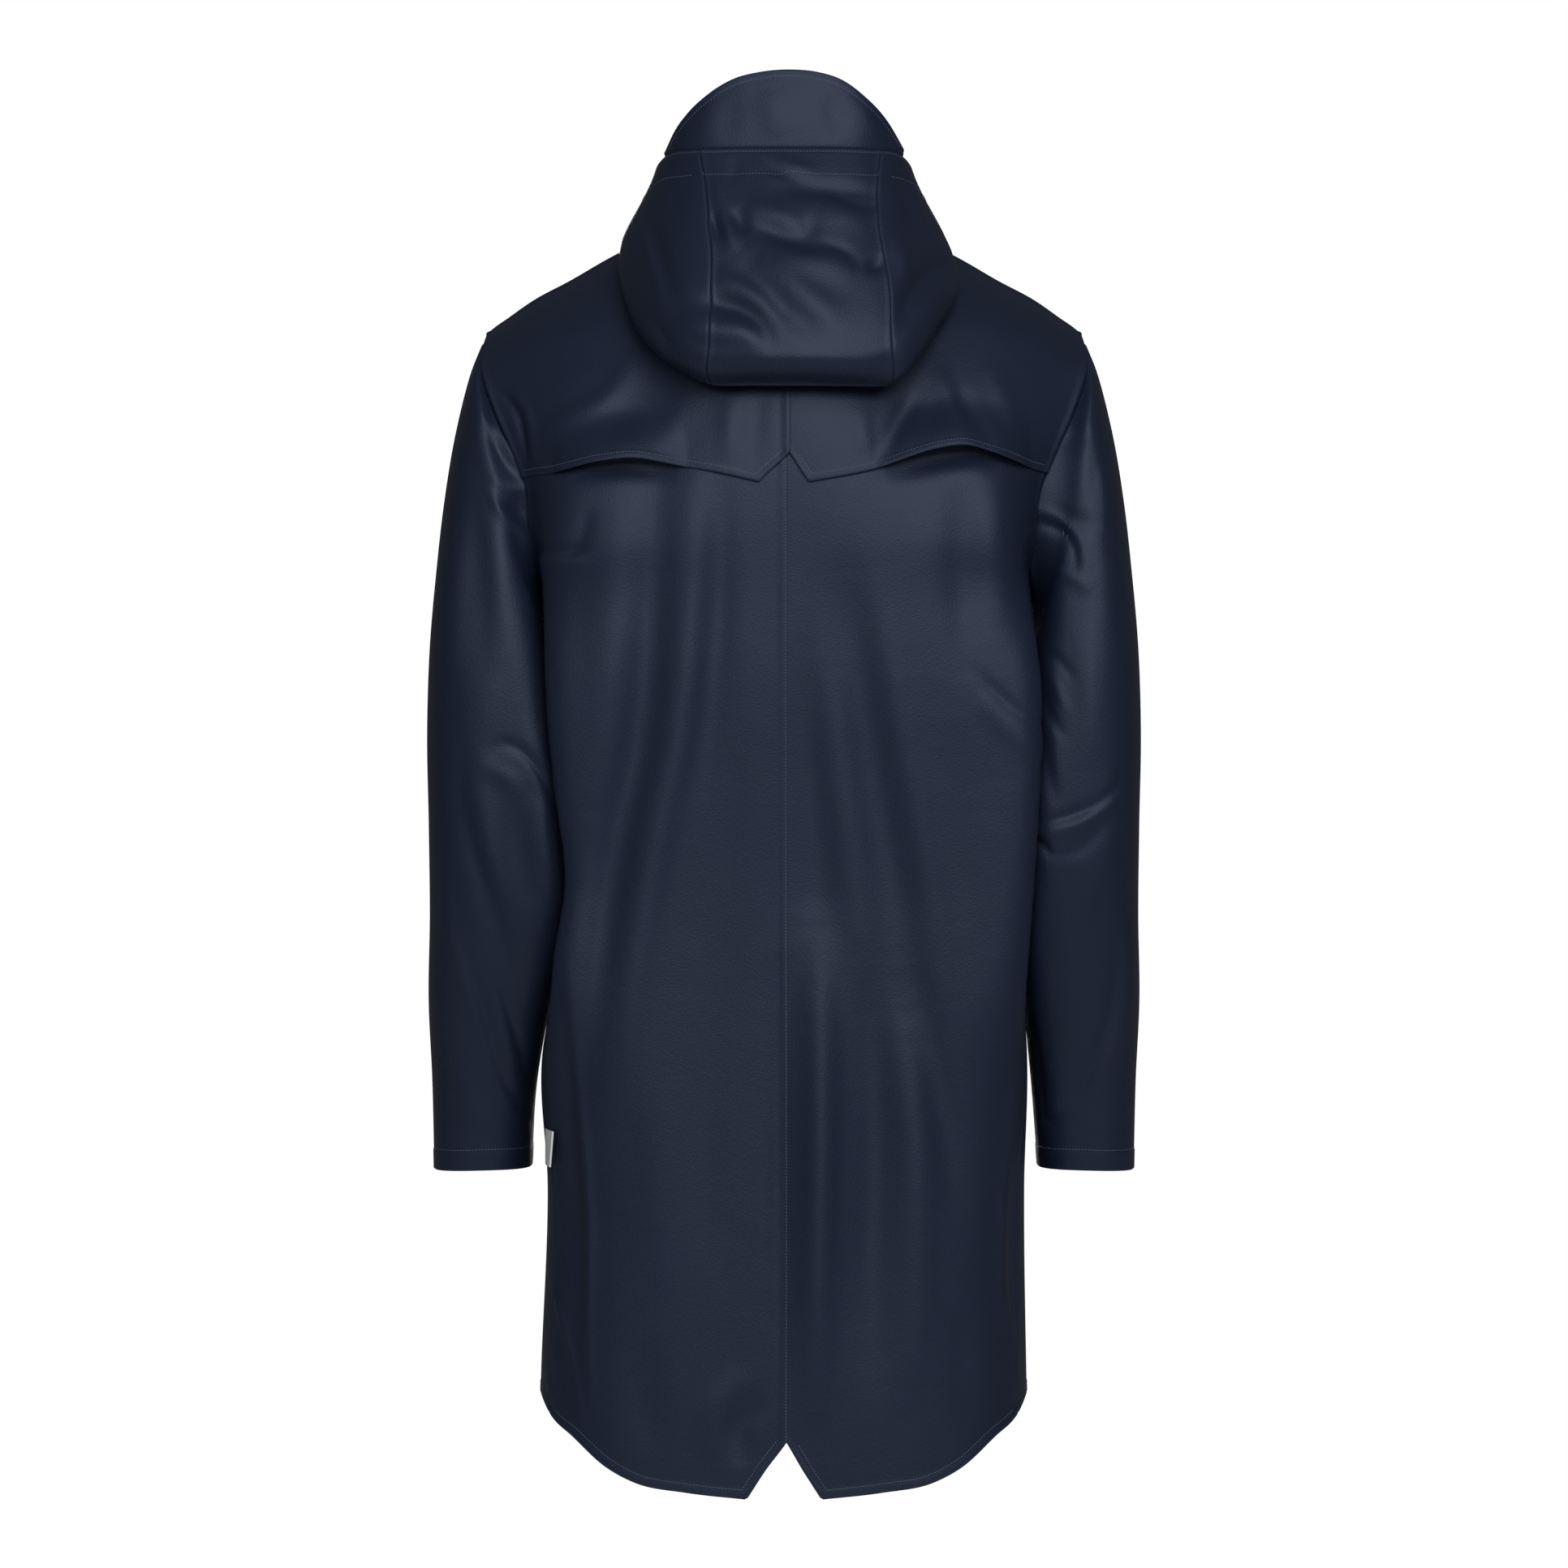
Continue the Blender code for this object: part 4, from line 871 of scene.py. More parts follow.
def makeBack(side):
    look = backLook
    outward = sideways(np.array(look["outward"]), side)
    u = closeEnds(look["width"], look["cell"])
    start = yokeDrop(side, u) - look["tuck"]
    v = start + (1.0 - start) * np.linspace(0.0, 1.0, look["upperRows"])[:-1, None]
    grid = wholePanel(side, False, u, v, look)
    grid = moveCentreEdge(grid, look["edgeX"] if side > 0 else look["underEdgeX"])
    amount = foldField(backFolds, *seenFlat(grid)) * facingShare(grid, outward, 1)
    fromCentre, fromSide, _, fromHem = edgeDistances(grid)
    if side > 0:
        amount += weltOf(grid, look)
    amount += edgeRoll(fromCentre, *look["lapRoll" if side > 0 else "underRoll"])
    amount += hemBand(fromHem, look["hemStitch"]) + edgeRoll(fromSide) + armholeRidge(fromSide, len(v), look)
    grid = pushOut(grid, outward, amount)
    makeSheet(sided("back", side), grid, outward, wearOf(fromHem, fromSide, fromCentre))
    return grid


yokeLook = {
    "outward": (0.2, 1.0, 0.3),
    "width": 0.245,
    "length": 0.190,
    "lap": 0.0024,
    "lapStart": 0.15,
    "lapFull": 0.45,
    "edgeX": -0.0050,
    "underEdgeX": -0.0030,
    "lapRoll": (0.0005, 0.0007),
    "underRoll": (0.0003, 0.0012),
    "welt": 0.0002,
    "weltRise": 0.0009,
    "weltEnd": (-0.0008, 0.0006),
    "weltDip": (-0.0005, 0.0004, 0.0006),
    "armRidge": (0.0014, 0.0032, 0.0019),
    "shoulderRidge": (0.0007, 0.0030, 0.0018),
    "hemStitch": 0.0054,
    "cut": (0.27, 0.22, 0.052),
}
yokeFolds = foldRows(
    (-1.4, 14, 0, (97, -112), (111, -128), (130, -148), (150, -166)),
    (2.2, 9, 0, (114, -88), (136, -120), (168, -139), (193, -154)),
    (-1.6, 9, 0, (20, -112), (22, -139), (23, -173)),
    (1.4, 8, 0, (39, -113), (42, -139), (43, -170)),
    (1.6, 12, 0, (67, -113), (83, -139), (95, -164)),
    (-3.2, 8, 0, (-102, -115), (-92, -134), (-82, -154), (-78, -170)),
    (2.4, 9, 0, (-116, -98), (-127, -120), (-135, -145)),
    (-2.8, 8, 0, (-133, -113), (-141, -129), (-152, -154), (-156, -167)),
    (1.6, 8, 0, (-59, -126), (-60, -145), (-63, -164)),
    (1.5, 9, 0, (-157, -94), (-169, -120), (-179, -151)),
    (-2.8, 3.2, 0.5, (220, -115), (211, -124), (205, -134), (201, -150), (198, -171)),
    (1.4, 4, 0.2, (211, -113), (199, -129), (194, -151), (192, -171)),
    (-1.2, 16, 0, (231, -88), (180, -91), (130, -76)),
    (-1.2, 14, 0, (-172, -82), (-204, -94), (-229, -107)),
)


def makeYoke(side):
    look = yokeLook
    outward = sideways(np.array(look["outward"]), side)
    u = closeEnds(look["width"], coat["cell"])
    shares = closeEnds(look["length"], coat["cell"])
    grid = bodyAbove(side, False, u, yokeDrop(side, u)[None, :] * shares[:, None])
    grid = moveCentreEdge(grid, look["edgeX"] if side > 0 else look["underEdgeX"])
    fromCentre, fromArm, fromShoulder, fromHem = edgeDistances(grid)
    amount = look["lap"] * stepUp(shares, look["lapStart"], look["lapFull"])[:, None] * np.ones_like(fromHem)
    for vent in vents:
        near = np.cos(np.clip((grid[..., 0] - vent.x) / vent.halfWidth, -1.0, 1.0) * math.pi / 2)
        amount += vent.lift * near * (1 - stepUp(fromHem, 0.0, vent.climb))
    amount += foldField(yokeFolds, *seenFlat(grid))
    if side > 0:
        amount += weltOf(grid, look) + ridge(grid[..., 0] - look["welt"], look["weltDip"])
    amount += edgeRoll(fromCentre, *look["lapRoll" if side > 0 else "underRoll"])
    amount += hemBand(fromHem, look["hemStitch"]) + edgeRoll(fromArm) + edgeRoll(fromShoulder)
    amount += ridge(fromArm, look["armRidge"]) + ridge(fromShoulder, look["shoulderRidge"])
    grid = pushOut(grid, outward, amount)
    makeSheet(sided("yoke", side), grid, outward, wearOf(fromHem, fromArm, fromCentre))
    return grid


frontLook = {
    "cell": 0.0040,
    "outward": (0.3, -1.0, 0.0),
    "upperRows": 70,
    "width": 0.330,
    "length": 0.620,
    "bendRows": 12,
    "bendPasses": 60,
    "facing": (0.1, 0.5),
    "centreRoll": 0.0003,
    "ridge": (0.0011, 0.0030, 0.0018),
    "ridgeRows": (-8, 0),
    "hemStitch": 0.0070,
    "cut": (0.36, 0.92, 0.290),
}
frontFolds = foldRows(
    (-5.0, 18, 0, (75, -240), (88, -420), (122, -600)),
    (3.4, 12, 0, (56, -260), (64, -430), (92, -620)),
    (-5.0, 17, 0, (-80, -260), (-90, -440), (-120, -640)),
    (3.0, 12, 0, (-58, -300), (-66, -470), (-90, -650)),
    (4.0, 13, 0, (120, -560), (112, -720), (118, -880)),
    (4.0, 12, 0, (-126, -600), (-116, -740), (-122, -880)),
    (-3.6, 16, 0, (60, -620), (66, -760), (60, -890)),
    (-3.2, 16, 0, (-62, -660), (-58, -780), (-66, -890)),
    (-2.6, 6, 0.2, (186, -262), (160, -258), (132, -250)),
    (1.8, 6, 0.1, (186, -278), (158, -274), (134, -262)),
    (-2.4, 6, 0.2, (-188, -300), (-160, -290), (-138, -272)),
    (1.6, 6, 0.1, (-186, -318), (-160, -306), (-140, -288)),
    (-2.4, 9, 0, (108, -92), (128, -128), (140, -170)),
    (2.0, 9, 0, (126, -80), (148, -112), (160, -150)),
    (-2.2, 9, 0, (-112, -96), (-130, -130), (-138, -166)),
    (1.8, 9, 0, (-130, -84), (-148, -116), (-158, -150)),
    (-2.0, 10, 0, (40, -150), (46, -200), (52, -250)),
    (-1.8, 10, 0, (-42, -160), (-48, -210), (-56, -262)),
    (-1.6, 4, 0.4, (150, -800), (132, -850), (120, -895)),
    (-1.4, 4, 0.4, (-150, -820), (-134, -860), (-126, -896)),
)


def makeFront(side):
    look = frontLook
    outward = sideways(np.array(look["outward"]), side)
    u = closeEnds(look["width"], look["cell"])
    v = np.linspace(0.0, 1.0, look["upperRows"])[:-1, None] * np.ones_like(u)
    grid = wholePanel(side, True, u, v, look)
    facingAhead = facingShare(grid, outward, -1, *look["facing"])
    facingBack = facingShare(grid, outward, 1) * (grid[..., 1] > 0)
    amount = foldField(frontFolds, grid[..., 0], grid[..., 2]) * facingAhead
    # the back's folds run on over the side seam
    amount += foldField(backFolds, *seenFlat(grid)) * facingBack
    fromCentre, fromSide, fromShoulder, fromHem = edgeDistances(grid)
    amount += hemBand(fromHem, look["hemStitch"]) + edgeRoll(fromCentre, look["centreRoll"])
    amount += edgeRoll(fromSide) + edgeRoll(fromShoulder) + armholeRidge(fromSide, len(v), look)
    grid = pushOut(grid, outward, amount)
    makeSheet(sided("front", side), grid, outward, wearOf(fromHem, fromSide, fromCentre))
    return grid


placketLook = {
    "left": 0.032,
    "right": 0.024,
    "inset": 0.009,           # below the front's neck edge
    "shorter": 0.024,         # above the front's hem
    "lap": 0.0026,
    "roll": (0.0006, 0.0012),
    "stitchIn": 0.0042,
    "stitchDip": (-0.0003, 0.0, 0.0009),
    "cut": (0.056, 0.86, 0.048),
}


def makePlacket(leftFront, rightFront):
    # a strip that lies over the two front edges, flat across
    look = placketLook
    width = look["left"] + look["right"]
    reaches = -look["right"] + width * closeEnds(width, coat["cell"])
    strips = []
    for reach in reaches:
        front = leftFront if reach >= 0 else rightFront
        strips.append([[reach, *(np.interp(abs(reach), np.abs(row[:, 0]), row[:, axis]) for axis in (1, 2))]
                       for row in front])
    grid = np.array(strips).transpose(1, 0, 2)
    share = (reaches + look["right"]) / width
    chord = grid[:, :1, 1] * (1 - share) + grid[:, -1:, 1] * share
    grid[..., 1] = np.minimum(grid[..., 1], chord)
    down = lengthsOf(grid[:, grid.shape[1] // 2])
    length = down[-1] - look["inset"] - look["shorter"]
    places = (look["inset"] + length * closeEnds(length, coat["cell"])) / down[-1]
    grid = np.array([readLine(strip, places) for strip in grid.transpose(1, 0, 2)]).transpose(1, 0, 2)
    edges = edgeDistances(grid)
    amount = look["lap"] + sum(edgeRoll(distance, *look["roll"]) for distance in edges)
    for distance in edges[:2]:
        amount += ridge(distance - look["stitchIn"], look["stitchDip"])
    grid = pushOut(grid, toFront, amount)
    makeSheet("placketStrip", grid, toFront, wearOf(*edges))
    return grid


sleeveLook = {
    "square": 2.7,
    "seamTurn": 0.03,         # the outer seam, as a part of the whole ring
    "around": 0.17,
    "frontCell": 0.0042,
    "length": 0.645,
    "outward": (1.0, 0.6, 0.0),
    "backDepth": (0.000, 0.022),    # behind the sleeve's middle, where folds start and are full
    "frontDepth": (0.004, 0.030),
    "seamRoll": 0.0007,
    "headRoll": (0.0012, 0.0030),
    "seamRidge": (0.0007, 0.0022, 0.0012),
    "cuffRise": 0.0005,
    "cuffStitch": 0.0165,
    "cuts": {"Back": (0.20, 0.66, 0.100), "Front": (0.22, 0.66, 0.118)},
}
sleeveFolds = foldRows(
    (2.6, 12, 0, (204, -110), (217, -190), (223, -290), (228, -380)),
    (-2.6, 12, 0, (228, -110), (243, -190), (250, -290), (254, -380)),
    (-2.6, 5, 0.2, (233, -132), (231, -145), (225, -159), (215, -173), (201, -186)),
    (2.4, 6, 0.1, (238, -126), (231, -135), (217, -151), (203, -173)),
    (2.0, 5, 0.2, (228, -180), (215, -188), (196, -191)),
    (-4.0, 10, 0, (213, -197), (203, -207), (192, -220)),
    (2.6, 4.5, 0.4, (227, -194), (220, -207), (206, -222), (191, -237)),
    (-3.2, 14, 0, (238, -189), (236, -239), (233, -290), (232, -346)),
    (2.0, 14, 0, (215, -239), (209, -302), (206, -365)),
    (1.6, 10, 0, (256, -214), (259, -277), (256, -346)),
    (-2.6, 5, 0.5, (228, -394), (218, -389), (206, -392), (193, -404), (182, -425), (177, -441)),
    (1.5, 8, 0.1, (236, -397), (231, -406), (217, -413), (204, -432), (198, -447)),
    (-3.4, 12, 0, (198, -417), (205, -457), (199, -491), (181, -520)),
    (1.8, 8, 0, (188, -432), (189, -460), (183, -491)),
    (-3.0, 8, 0.1, (250, -387), (252, -428), (243, -469), (229, -510), (214, -554), (201, -600)),
    (2.6, 9, 0, (236, -416), (228, -469), (215, -510), (199, -554)),
    (2.6, 6, 0.1, (261, -472), (259, -530), (251, -561), (239, -594), (225, -630), (217, -649)),
    (-3.0, 4.5, 0.4, (249, -545), (238, -583), (226, -622), (216, -651), (204, -670), (193, -685)),
    (-2.6, 4.5, 0.4, (226, -561), (211, -602), (201, -639), (193, -674)),
    (1.6, 6, 0, (231, -567), (218, -611), (208, -649)),
    (1.4, 10, 0, (250, -649), (240, -674), (231, -693)),
    (-1.8, 5, 0.3, (-221, -129), (-228, -146), (-240, -152)),
    (-1.6, 4, 0.2, (-213, -155), (-223, -154), (-235, -157)),
    (1.8, 5, 0.2, (-242, -148), (-245, -170), (-249, -202), (-249, -220)),
    (-1.8, 7, 0.1, (-204, -207), (-225, -214), (-248, -222)),
    (2.8, 5, 0.3, (-186, -207), (-204, -210), (-217, -217), (-226, -229), (-231, -246), (-233, -255)),
    (-4.4, 5, 0.4, (-186, -218), (-204, -218), (-218, -225), (-226, -237), (-228, -252)),
    (-3.0, 12, 0, (-195, -233), (-198, -271), (-200, -315)),
    (1.8, 6, 0.1, (-210, -252), (-226, -260), (-239, -270)),
    (2.0, 12, 0, (-229, -290), (-238, -353), (-235, -410)),
    (-1.6, 4, 0.3, (-203, -315), (-213, -324), (-226, -339)),
    (1.4, 4, 0.2, (-204, -328), (-211, -343), (-221, -367)),
    (-1.8, 4, 0.2, (-200, -346), (-206, -365), (-218, -384)),
    (-2.4, 6, 0.1, (-201, -378), (-204, -408), (-211, -436)),
    (-2.2, 5, 0.3, (-191, -452), (-208, -448), (-222, -444), (-242, -436), (-257, -424), (-267, -406)),
    (2.2, 7, 0.1, (-195, -457), (-210, -456), (-226, -452), (-243, -442), (-259, -427)),
    (-3.6, 3.6, 0.5, (-190, -460), (-199, -466), (-208, -476)),
    (-2.0, 8, 0.1, (-210, -474), (-228, -470), (-242, -458), (-257, -441)),
    (-2.2, 12, 0, (-204, -485), (-203, -517), (-200, -554)),
    (-1.2, 8, 0, (-257, -491), (-249, -510), (-245, -532)),
    (-3.0, 6, 0.2, (-259, -545), (-258, -567), (-255, -595), (-245, -627), (-229, -656), (-210, -678)),
    (2.6, 6, 0.1, (-264, -517), (-267, -566), (-262, -604), (-252, -633), (-238, -655)),
    (2.4, 14, 0, (-223, -517), (-226, -567), (-221, -617)),
    (-2.6, 3.6, 0.5, (-191, -598), (-196, -630), (-200, -663), (-202, -683)),
    (-1.8, 3, 0.5, (-200, -680), (-205, -680), (-210, -678)),
)
sleeveFrontFolds = foldRows(
    (-3.4, 6, 0.3, (188, -262), (212, -268), (232, -290), (240, -322)),
    (2.6, 7, 0.1, (190, -244), (216, -250), (240, -276)),
    (-3.0, 6, 0.3, (184, -452), (206, -440), (236, -446), (256, -470)),
    (2.8, 7, 0.1, (186, -470), (210, -458), (238, -466)),
    (-2.6, 8, 0, (250, -470), (236, -560), (212, -640)),
    (2.4, 8, 0, (262, -500), (252, -590), (230, -670)),
    (-2.0, 6, 0.2, (200, -520), (222, -510), (244, -524)),
    (-2.4, 8, 0, (246, -140), (252, -210), (250, -290)),
    (2.0, 10, 0, (222, -160), (226, -230), (222, -300)),
    (-3.0, 6, 0.3, (-192, -300), (-216, -296), (-238, -312), (-250, -340)),
    (2.4, 7, 0.1, (-196, -280), (-222, -278), (-246, -298)),
    (-3.2, 6, 0.3, (-186, -488), (-212, -470), (-240, -468), (-262, -486)),
    (2.8, 7, 0.1, (-188, -508), (-214, -490), (-244, -490)),
    (-2.4, 8, 0, (-258, -500), (-246, -580), (-222, -660)),
    (2.2, 8, 0, (-266, -540), (-256, -620), (-236, -690)),
    (-2.2, 8, 0, (-248, -150), (-256, -220), (-254, -300)),
)


def sleeveLoop(side, ring):
    # one ring, from its outer side over the back to the underarm and on, evenly spaced by halves
    half = samples["line"]
    innerX = ring.innerLeft if side > 0 else ring.innerRight
    outer = np.array([ring.outer, ring.mid, ring.outerZ])
    inner = np.array([innerX, ring.mid, ring.innerZ])
    angle = np.linspace(0.0, 2 * math.pi, 2 * half + 1)
    againstBody = (np.cos(angle) < 0) & (np.sin(angle) > 0)
    power = 2.0 / np.where(againstBody, ring.innerSquare, sleeveLook["square"])
    sway = np.sign(np.cos(angle)) * np.abs(np.cos(angle)) ** power
    swell = np.sign(np.sin(angle)) * np.abs(np.sin(angle)) ** power
    middle = (outer + inner) / 2
    loop = middle + sway[:, None] * (outer - middle) + swell[:, None] * np.array([0.0, ring.depth, 0.0])
    return joinHalves(loop[:half + 1], loop[half:])


def joinHalves(back, front):
    even = np.linspace(0.0, 1.0, samples["line"])
    return np.vstack((readLine(back, even), readLine(front, even)[1:]))


def sleeveTurns():
    # places round the sleeve, and the column of its underarm seam
    look = sleeveLook
    backTurns = look["seamTurn"] + (0.5 - look["seamTurn"]) * closeEnds(look["around"], coat["cell"])
    frontTurns = 0.5 + (0.5 + look["seamTurn"]) * closeEnds(look["around"], look["frontCell"])
    return np.concatenate((backTurns, frontTurns[1:])), len(backTurns) - 1


def makeSleeve(side):
    look = sleeveLook
    turns, split = sleeveTurns()
    loops = [joinHalves(armholeLine(side, False), armholeLine(side, True)[::-1])]
    loops += [sleeveLoop(side, ring) for ring in sleeveRings]
    places = np.linspace(0.0, 1.0, len(loops[0]))
    rings = np.array([[np.interp(turns % 1.0, places, loop[:, axis]) for axis in range(3)] for loop in loops])
    rings = rings.transpose(0, 2, 1)
    steps = np.linalg.norm(np.diff(rings, axis=0), axis=2).mean(axis=1)
    along = np.concatenate(([0.0], np.cumsum(steps)))
    grid = smooth(along[-1] * closeEnds(look["length"], coat["cell"]), along, rings)
    middle = grid[:, :-1].mean(axis=1, keepdims=True)
    outward = sideways(unit((grid - middle) * np.array(look["outward"])), side)
    depth = grid[..., 1] - middle[..., 1]
    grid = sideways(grid, side)
    amount = foldField(sleeveFolds, *seenFlat(grid)) * stepUp(depth, *look["backDepth"])
    amount += foldField(sleeveFrontFolds, grid[..., 0], grid[..., 2]) * stepUp(-depth, *look["frontDepth"])
    grid = grid + outward * amount[..., None]
    makeSleevePanel(sided("sleeve", side) + "Back", grid[:, :split + 1], toBack)
    makeSleevePanel(sided("sleeve", side) + "Front", grid[:, split:], toFront)
    return grid


def makeSleevePanel(name, panel, outward):
    look = sleeveLook
    fromLeft, fromRight, fromHead, fromCuff = edgeDistances(panel)
    amount = edgeRoll(fromLeft, look["seamRoll"]) + edgeRoll(fromRight, look["seamRoll"])
    amount += edgeRoll(fromHead, *look["headRoll"]) + hemBand(fromCuff, look["cuffStitch"], look["cuffRise"])
    if outward is toBack:
        amount += ridge(fromLeft, look["seamRidge"])
    makeSheet(name, pushOut(panel, outward, amount), outward, wearOf(fromLeft, fromRight, fromHead, fromCuff))


hoodLook = {
    "outerLength": 0.19,
    "outerCells": 64,
    "underRows": 26,
    "sideLength": 0.37,
    "centreLength": 0.07,
    "lean": 0.10,             # shift to the wearer's right for each metre below the neck
    "leanFrom": (-0.09, 0.03),
    "edgePull": (0.62, 0.30),       # handles of the outer curve: out, in swells, and down, in heights
    "foldPull": (1.10, -0.03),
    "underPull": (0.4, 1.3),        # handles of the part turned under, in rolls
    "neckRise": 0.0014,
    "creaseEndRows": (-7, 4),
    "creaseFromY": (0.0, 0.02),
    "edgeRoll": (0.0006, 0.0012),
    "seamRoll": (0.0008, 0.0018),
    "seamRidge": (0.0007, 0.0022, 0.0014),
    "stitchDip": (-0.00035, 0.0, 0.0010),
    "topStitch": 0.0022,
    "channelStitch": 0.0225,
    "cuts": {
        "hoodLeft": (0.29, 0.32, 0.045),
        "hoodCentre": (0.18, 0.36, 0.048),
        "hoodRight": (0.29, 0.32, 0.043),
    },
}
hoodFolds = foldRows(
    # lens low on the left and the hollow above it
    (5.0, 12, 0, (84, -60), (70, -63), (52, -67), (30, -71), (14, -80)),
    (-4.6, 8, 0.1, (66, -46), (50, -47), (34, -51), (20, -60), (11, -76)),
    (2.6, 9, 0, (54, -26), (38, -32), (20, -42), (6, -58)),
    # long soft folds across the middle
    (-3.0, 10, 0, (36, -14), (22, -28), (1, -48), (-28, -72)),
    (3.6, 13, 0, (20, -10), (4, -24), (-16, -40), (-44, -62)),
    (-4.4, 8, 0, (26, 15), (8, 9), (-10, 3), (-32, -2)),
    (2.2, 9, 0, (30, 32), (8, 24), (-14, 19)),
    (3.0, 12, 0, (8, -8), (-16, -13), (-40, -18), (-58, -24)),
    (-2.4, 4.5, 0.3, (-30, -1), (-44, -4), (-52, -10), (-56, -18)),
    # dents beside the left seam
    (-3.4, 5, 0.2, (56, 24), (53, 14), (50, 2)),
    (2.4, 6, 0.1, (50, 26), (45, 16), (42, 4), (36, -6)),
    (-3.2, 7, 0, (40, 27), (34, 18), (28, 8)),
    # under the channel on the right
    (-3.4, 7, 0, (4, 43), (-16, 43), (-38, 42), (-60, 39), (-76, 36)),
    (-2.2, 4, 0.3, (-38, 38), (-55, 31), (-76, 28)),
    (2.4, 11, 0, (-26, 26), (-44, 22), (-66, 18)),
    (-1.8, 7, 0, (-14, 19), (-20, 12), (-24, 6)),
    (-1.6, 5, 0.2, (14, 62), (4, 57), (-8, 51), (-22, 48)),
    (1.2, 5, 0, (8, 66), (-6, 60), (-24, 56)),
    # right seam and side panel
    (-3.6, 5.5, 0.2, (-64, -18), (-71, -17), (-78, -13)),
    (2.4, 8, 0, (-86, 10), (-92, -8), (-96, -30)),
    (-5.0, 9, 0.1, (-129, -13), (-117, -20), (-106, -31), (-97, -46), (-91, -66)),
    (2.4, 8, 0, (-131, -28), (-120, -41), (-110, -60)),
    (1.6, 2.4, 0.5, (-97, 55), (-103, 36), (-110, 14), (-124, -9)),
    (-2.0, 6, 0, (-90, 52), (-95, 34), (-101, 14), (-110, -4)),
    # left side panel
    (1.6, 2.6, 0.5, (112, 20), (107, 0), (101, -22), (93, -50)),
    (-2.4, 7, 0, (104, 22), (99, 0), (93, -22), (86, -42)),
    (-2.2, 5, 0.2, (105, -55), (97, -68), (86, -83)),
    # the lower edge turns under
    (1.4, 7, 0, (88, -72), (70, -84), (40, -88), (-20, -89), (-70, -87), (-92, -76)),
    (-9.0, 18, 0, (98, -96), (66, -117), (23, -121), (-21, -121), (-64, -119), (-100, -94)),
    (-1.0, 5, 0, (39, 66), (38, 57), (42, 47)),
    (0.8, 4, 0, (54, 47), (51, 35), (44, 24)),
)
visorLook = {
    "turn": 126,              # where its two ends sit, round the neck
    "width": 0.14,
    "height": 0.06,
    "lean": -0.006,
    "endHeight": 0.003,
    "tuck": 0.0012,
    "rise": 0.0002,
    "stitchIn": 0.0050,
    "hemRise": 0.0004,
    "footDip": (-0.0012, 0.0, 0.0016),
    "cut": (0.22, 0.075, 0.0100),
}
visorFolds = foldRows(
    (-1.6, 10, 0, (-34, 117), (-39, 101), (-44, 81)),
    (1.4, 12, 0, (10, 120), (7, 101), (1, 82)),
    (-1.0, 10, 0, (39, 113), (43, 94), (45, 79)),
    (1.2, 9, 0, (-62, 113), (-66, 98), (-72, 81)),
)


def bezierLine(start, first, second, end, shares):
    t = np.linspace(0.0, 1.0, samples["line"])[:, None]
    line = ((1 - t) ** 3 * start + 3 * t * (1 - t) ** 2 * first
            + 3 * t * t * (1 - t) * second + t ** 3 * end)
    return readLine(line, shares)


def hoodShares():
    # shares down the outer stretch and along the part that is turned under
    look = hoodLook
    return (closeEnds(look["outerLength"], look["outerLength"] / look["outerCells"], last=False),
            np.linspace(0.0, 1.0, look["underRows"]))


def hoodSection(turn, side):
    # from the opening's edge out and down to the fold, then under it to the neck seam
    look = hoodLook
    at = rowAt(hoodSections, turn)
    outerShares, underShares = hoodShares()
    edge = np.array([at.edgeX, at.edgeY, at.edgeZ])
    fold = np.array([at.leftX, at.foldY, at.leftZ] if side > 0 else [at.rightX, at.foldY, at.rightZ])
    neck = neckline(turn) + np.array([0.0, 0.0, look["neckRise"]])
    out = unit((fold - neck) * level)
    down = np.array([0.0, 0.0, fold[2] - edge[2]])
    pulls = [out * at.swell * along + down * drop for along, drop in (look["edgePull"], look["foldPull"])]
    rolls = [out * at.roll * pull for pull in look["underPull"]]
    outer = bezierLine(edge, edge + pulls[0], fold + pulls[1], fold, outerShares)
    under = bezierLine(fold, fold - rolls[0], neck + rolls[1], neck, underShares)
    points = np.vstack((outer, under[1:]))
    share = np.concatenate((np.ones(len(outer)), 1 - underShares[1:]))
    lean = look["lean"] * np.minimum(points[:, 2], 0.0) * share
    points[:, 0] = points[:, 0] * side + lean * stepUp(points[:, 1], *look["leanFrom"])
    return points


def hoodPlaces():
    # columns of one half, and the one at the panel seam: place 0 is the throat, 1 the seam, 2 the nape
    sidePlaces = closeEnds(hoodLook["sideLength"], coat["cell"], first=False)
    centrePlaces = closeEnds(hoodLook["centreLength"], coat["cell"], last=False)
    return np.concatenate((sidePlaces, 1 + centrePlaces[1:])), len(sidePlaces) - 1


def hoodHalf(places, side):
    perDegree = samples["hoodPerDegree"]
    even = np.linspace(0.0, 180.0, 180 * perDegree + 1)
    table = np.array([hoodSection(turn, side) for turn in even])
    outer, under = hoodShares()
    shares = np.concatenate((outer, 1 + under[1:]))
    seam = smooth(shares, column(hoodSeams, "share"), column(hoodSeams, handOf(side)))
    turns = np.minimum(places, 1.0)[:, None] * seam + np.maximum(places - 1.0, 0.0)[:, None] * (180.0 - seam)
    return readTable(table, turns * perDegree, np.broadcast_to(np.arange(len(shares)), turns.shape))


def hoodPanels(grid):
    # the columns that each panel covers
    seam = hoodPlaces()[1]
    end = grid.shape[1] - 1
    return {"hoodLeft": slice(0, seam + 1), "hoodCentre": slice(seam, end - seam + 1),
            "hoodRight": slice(end - seam, end + 1)}


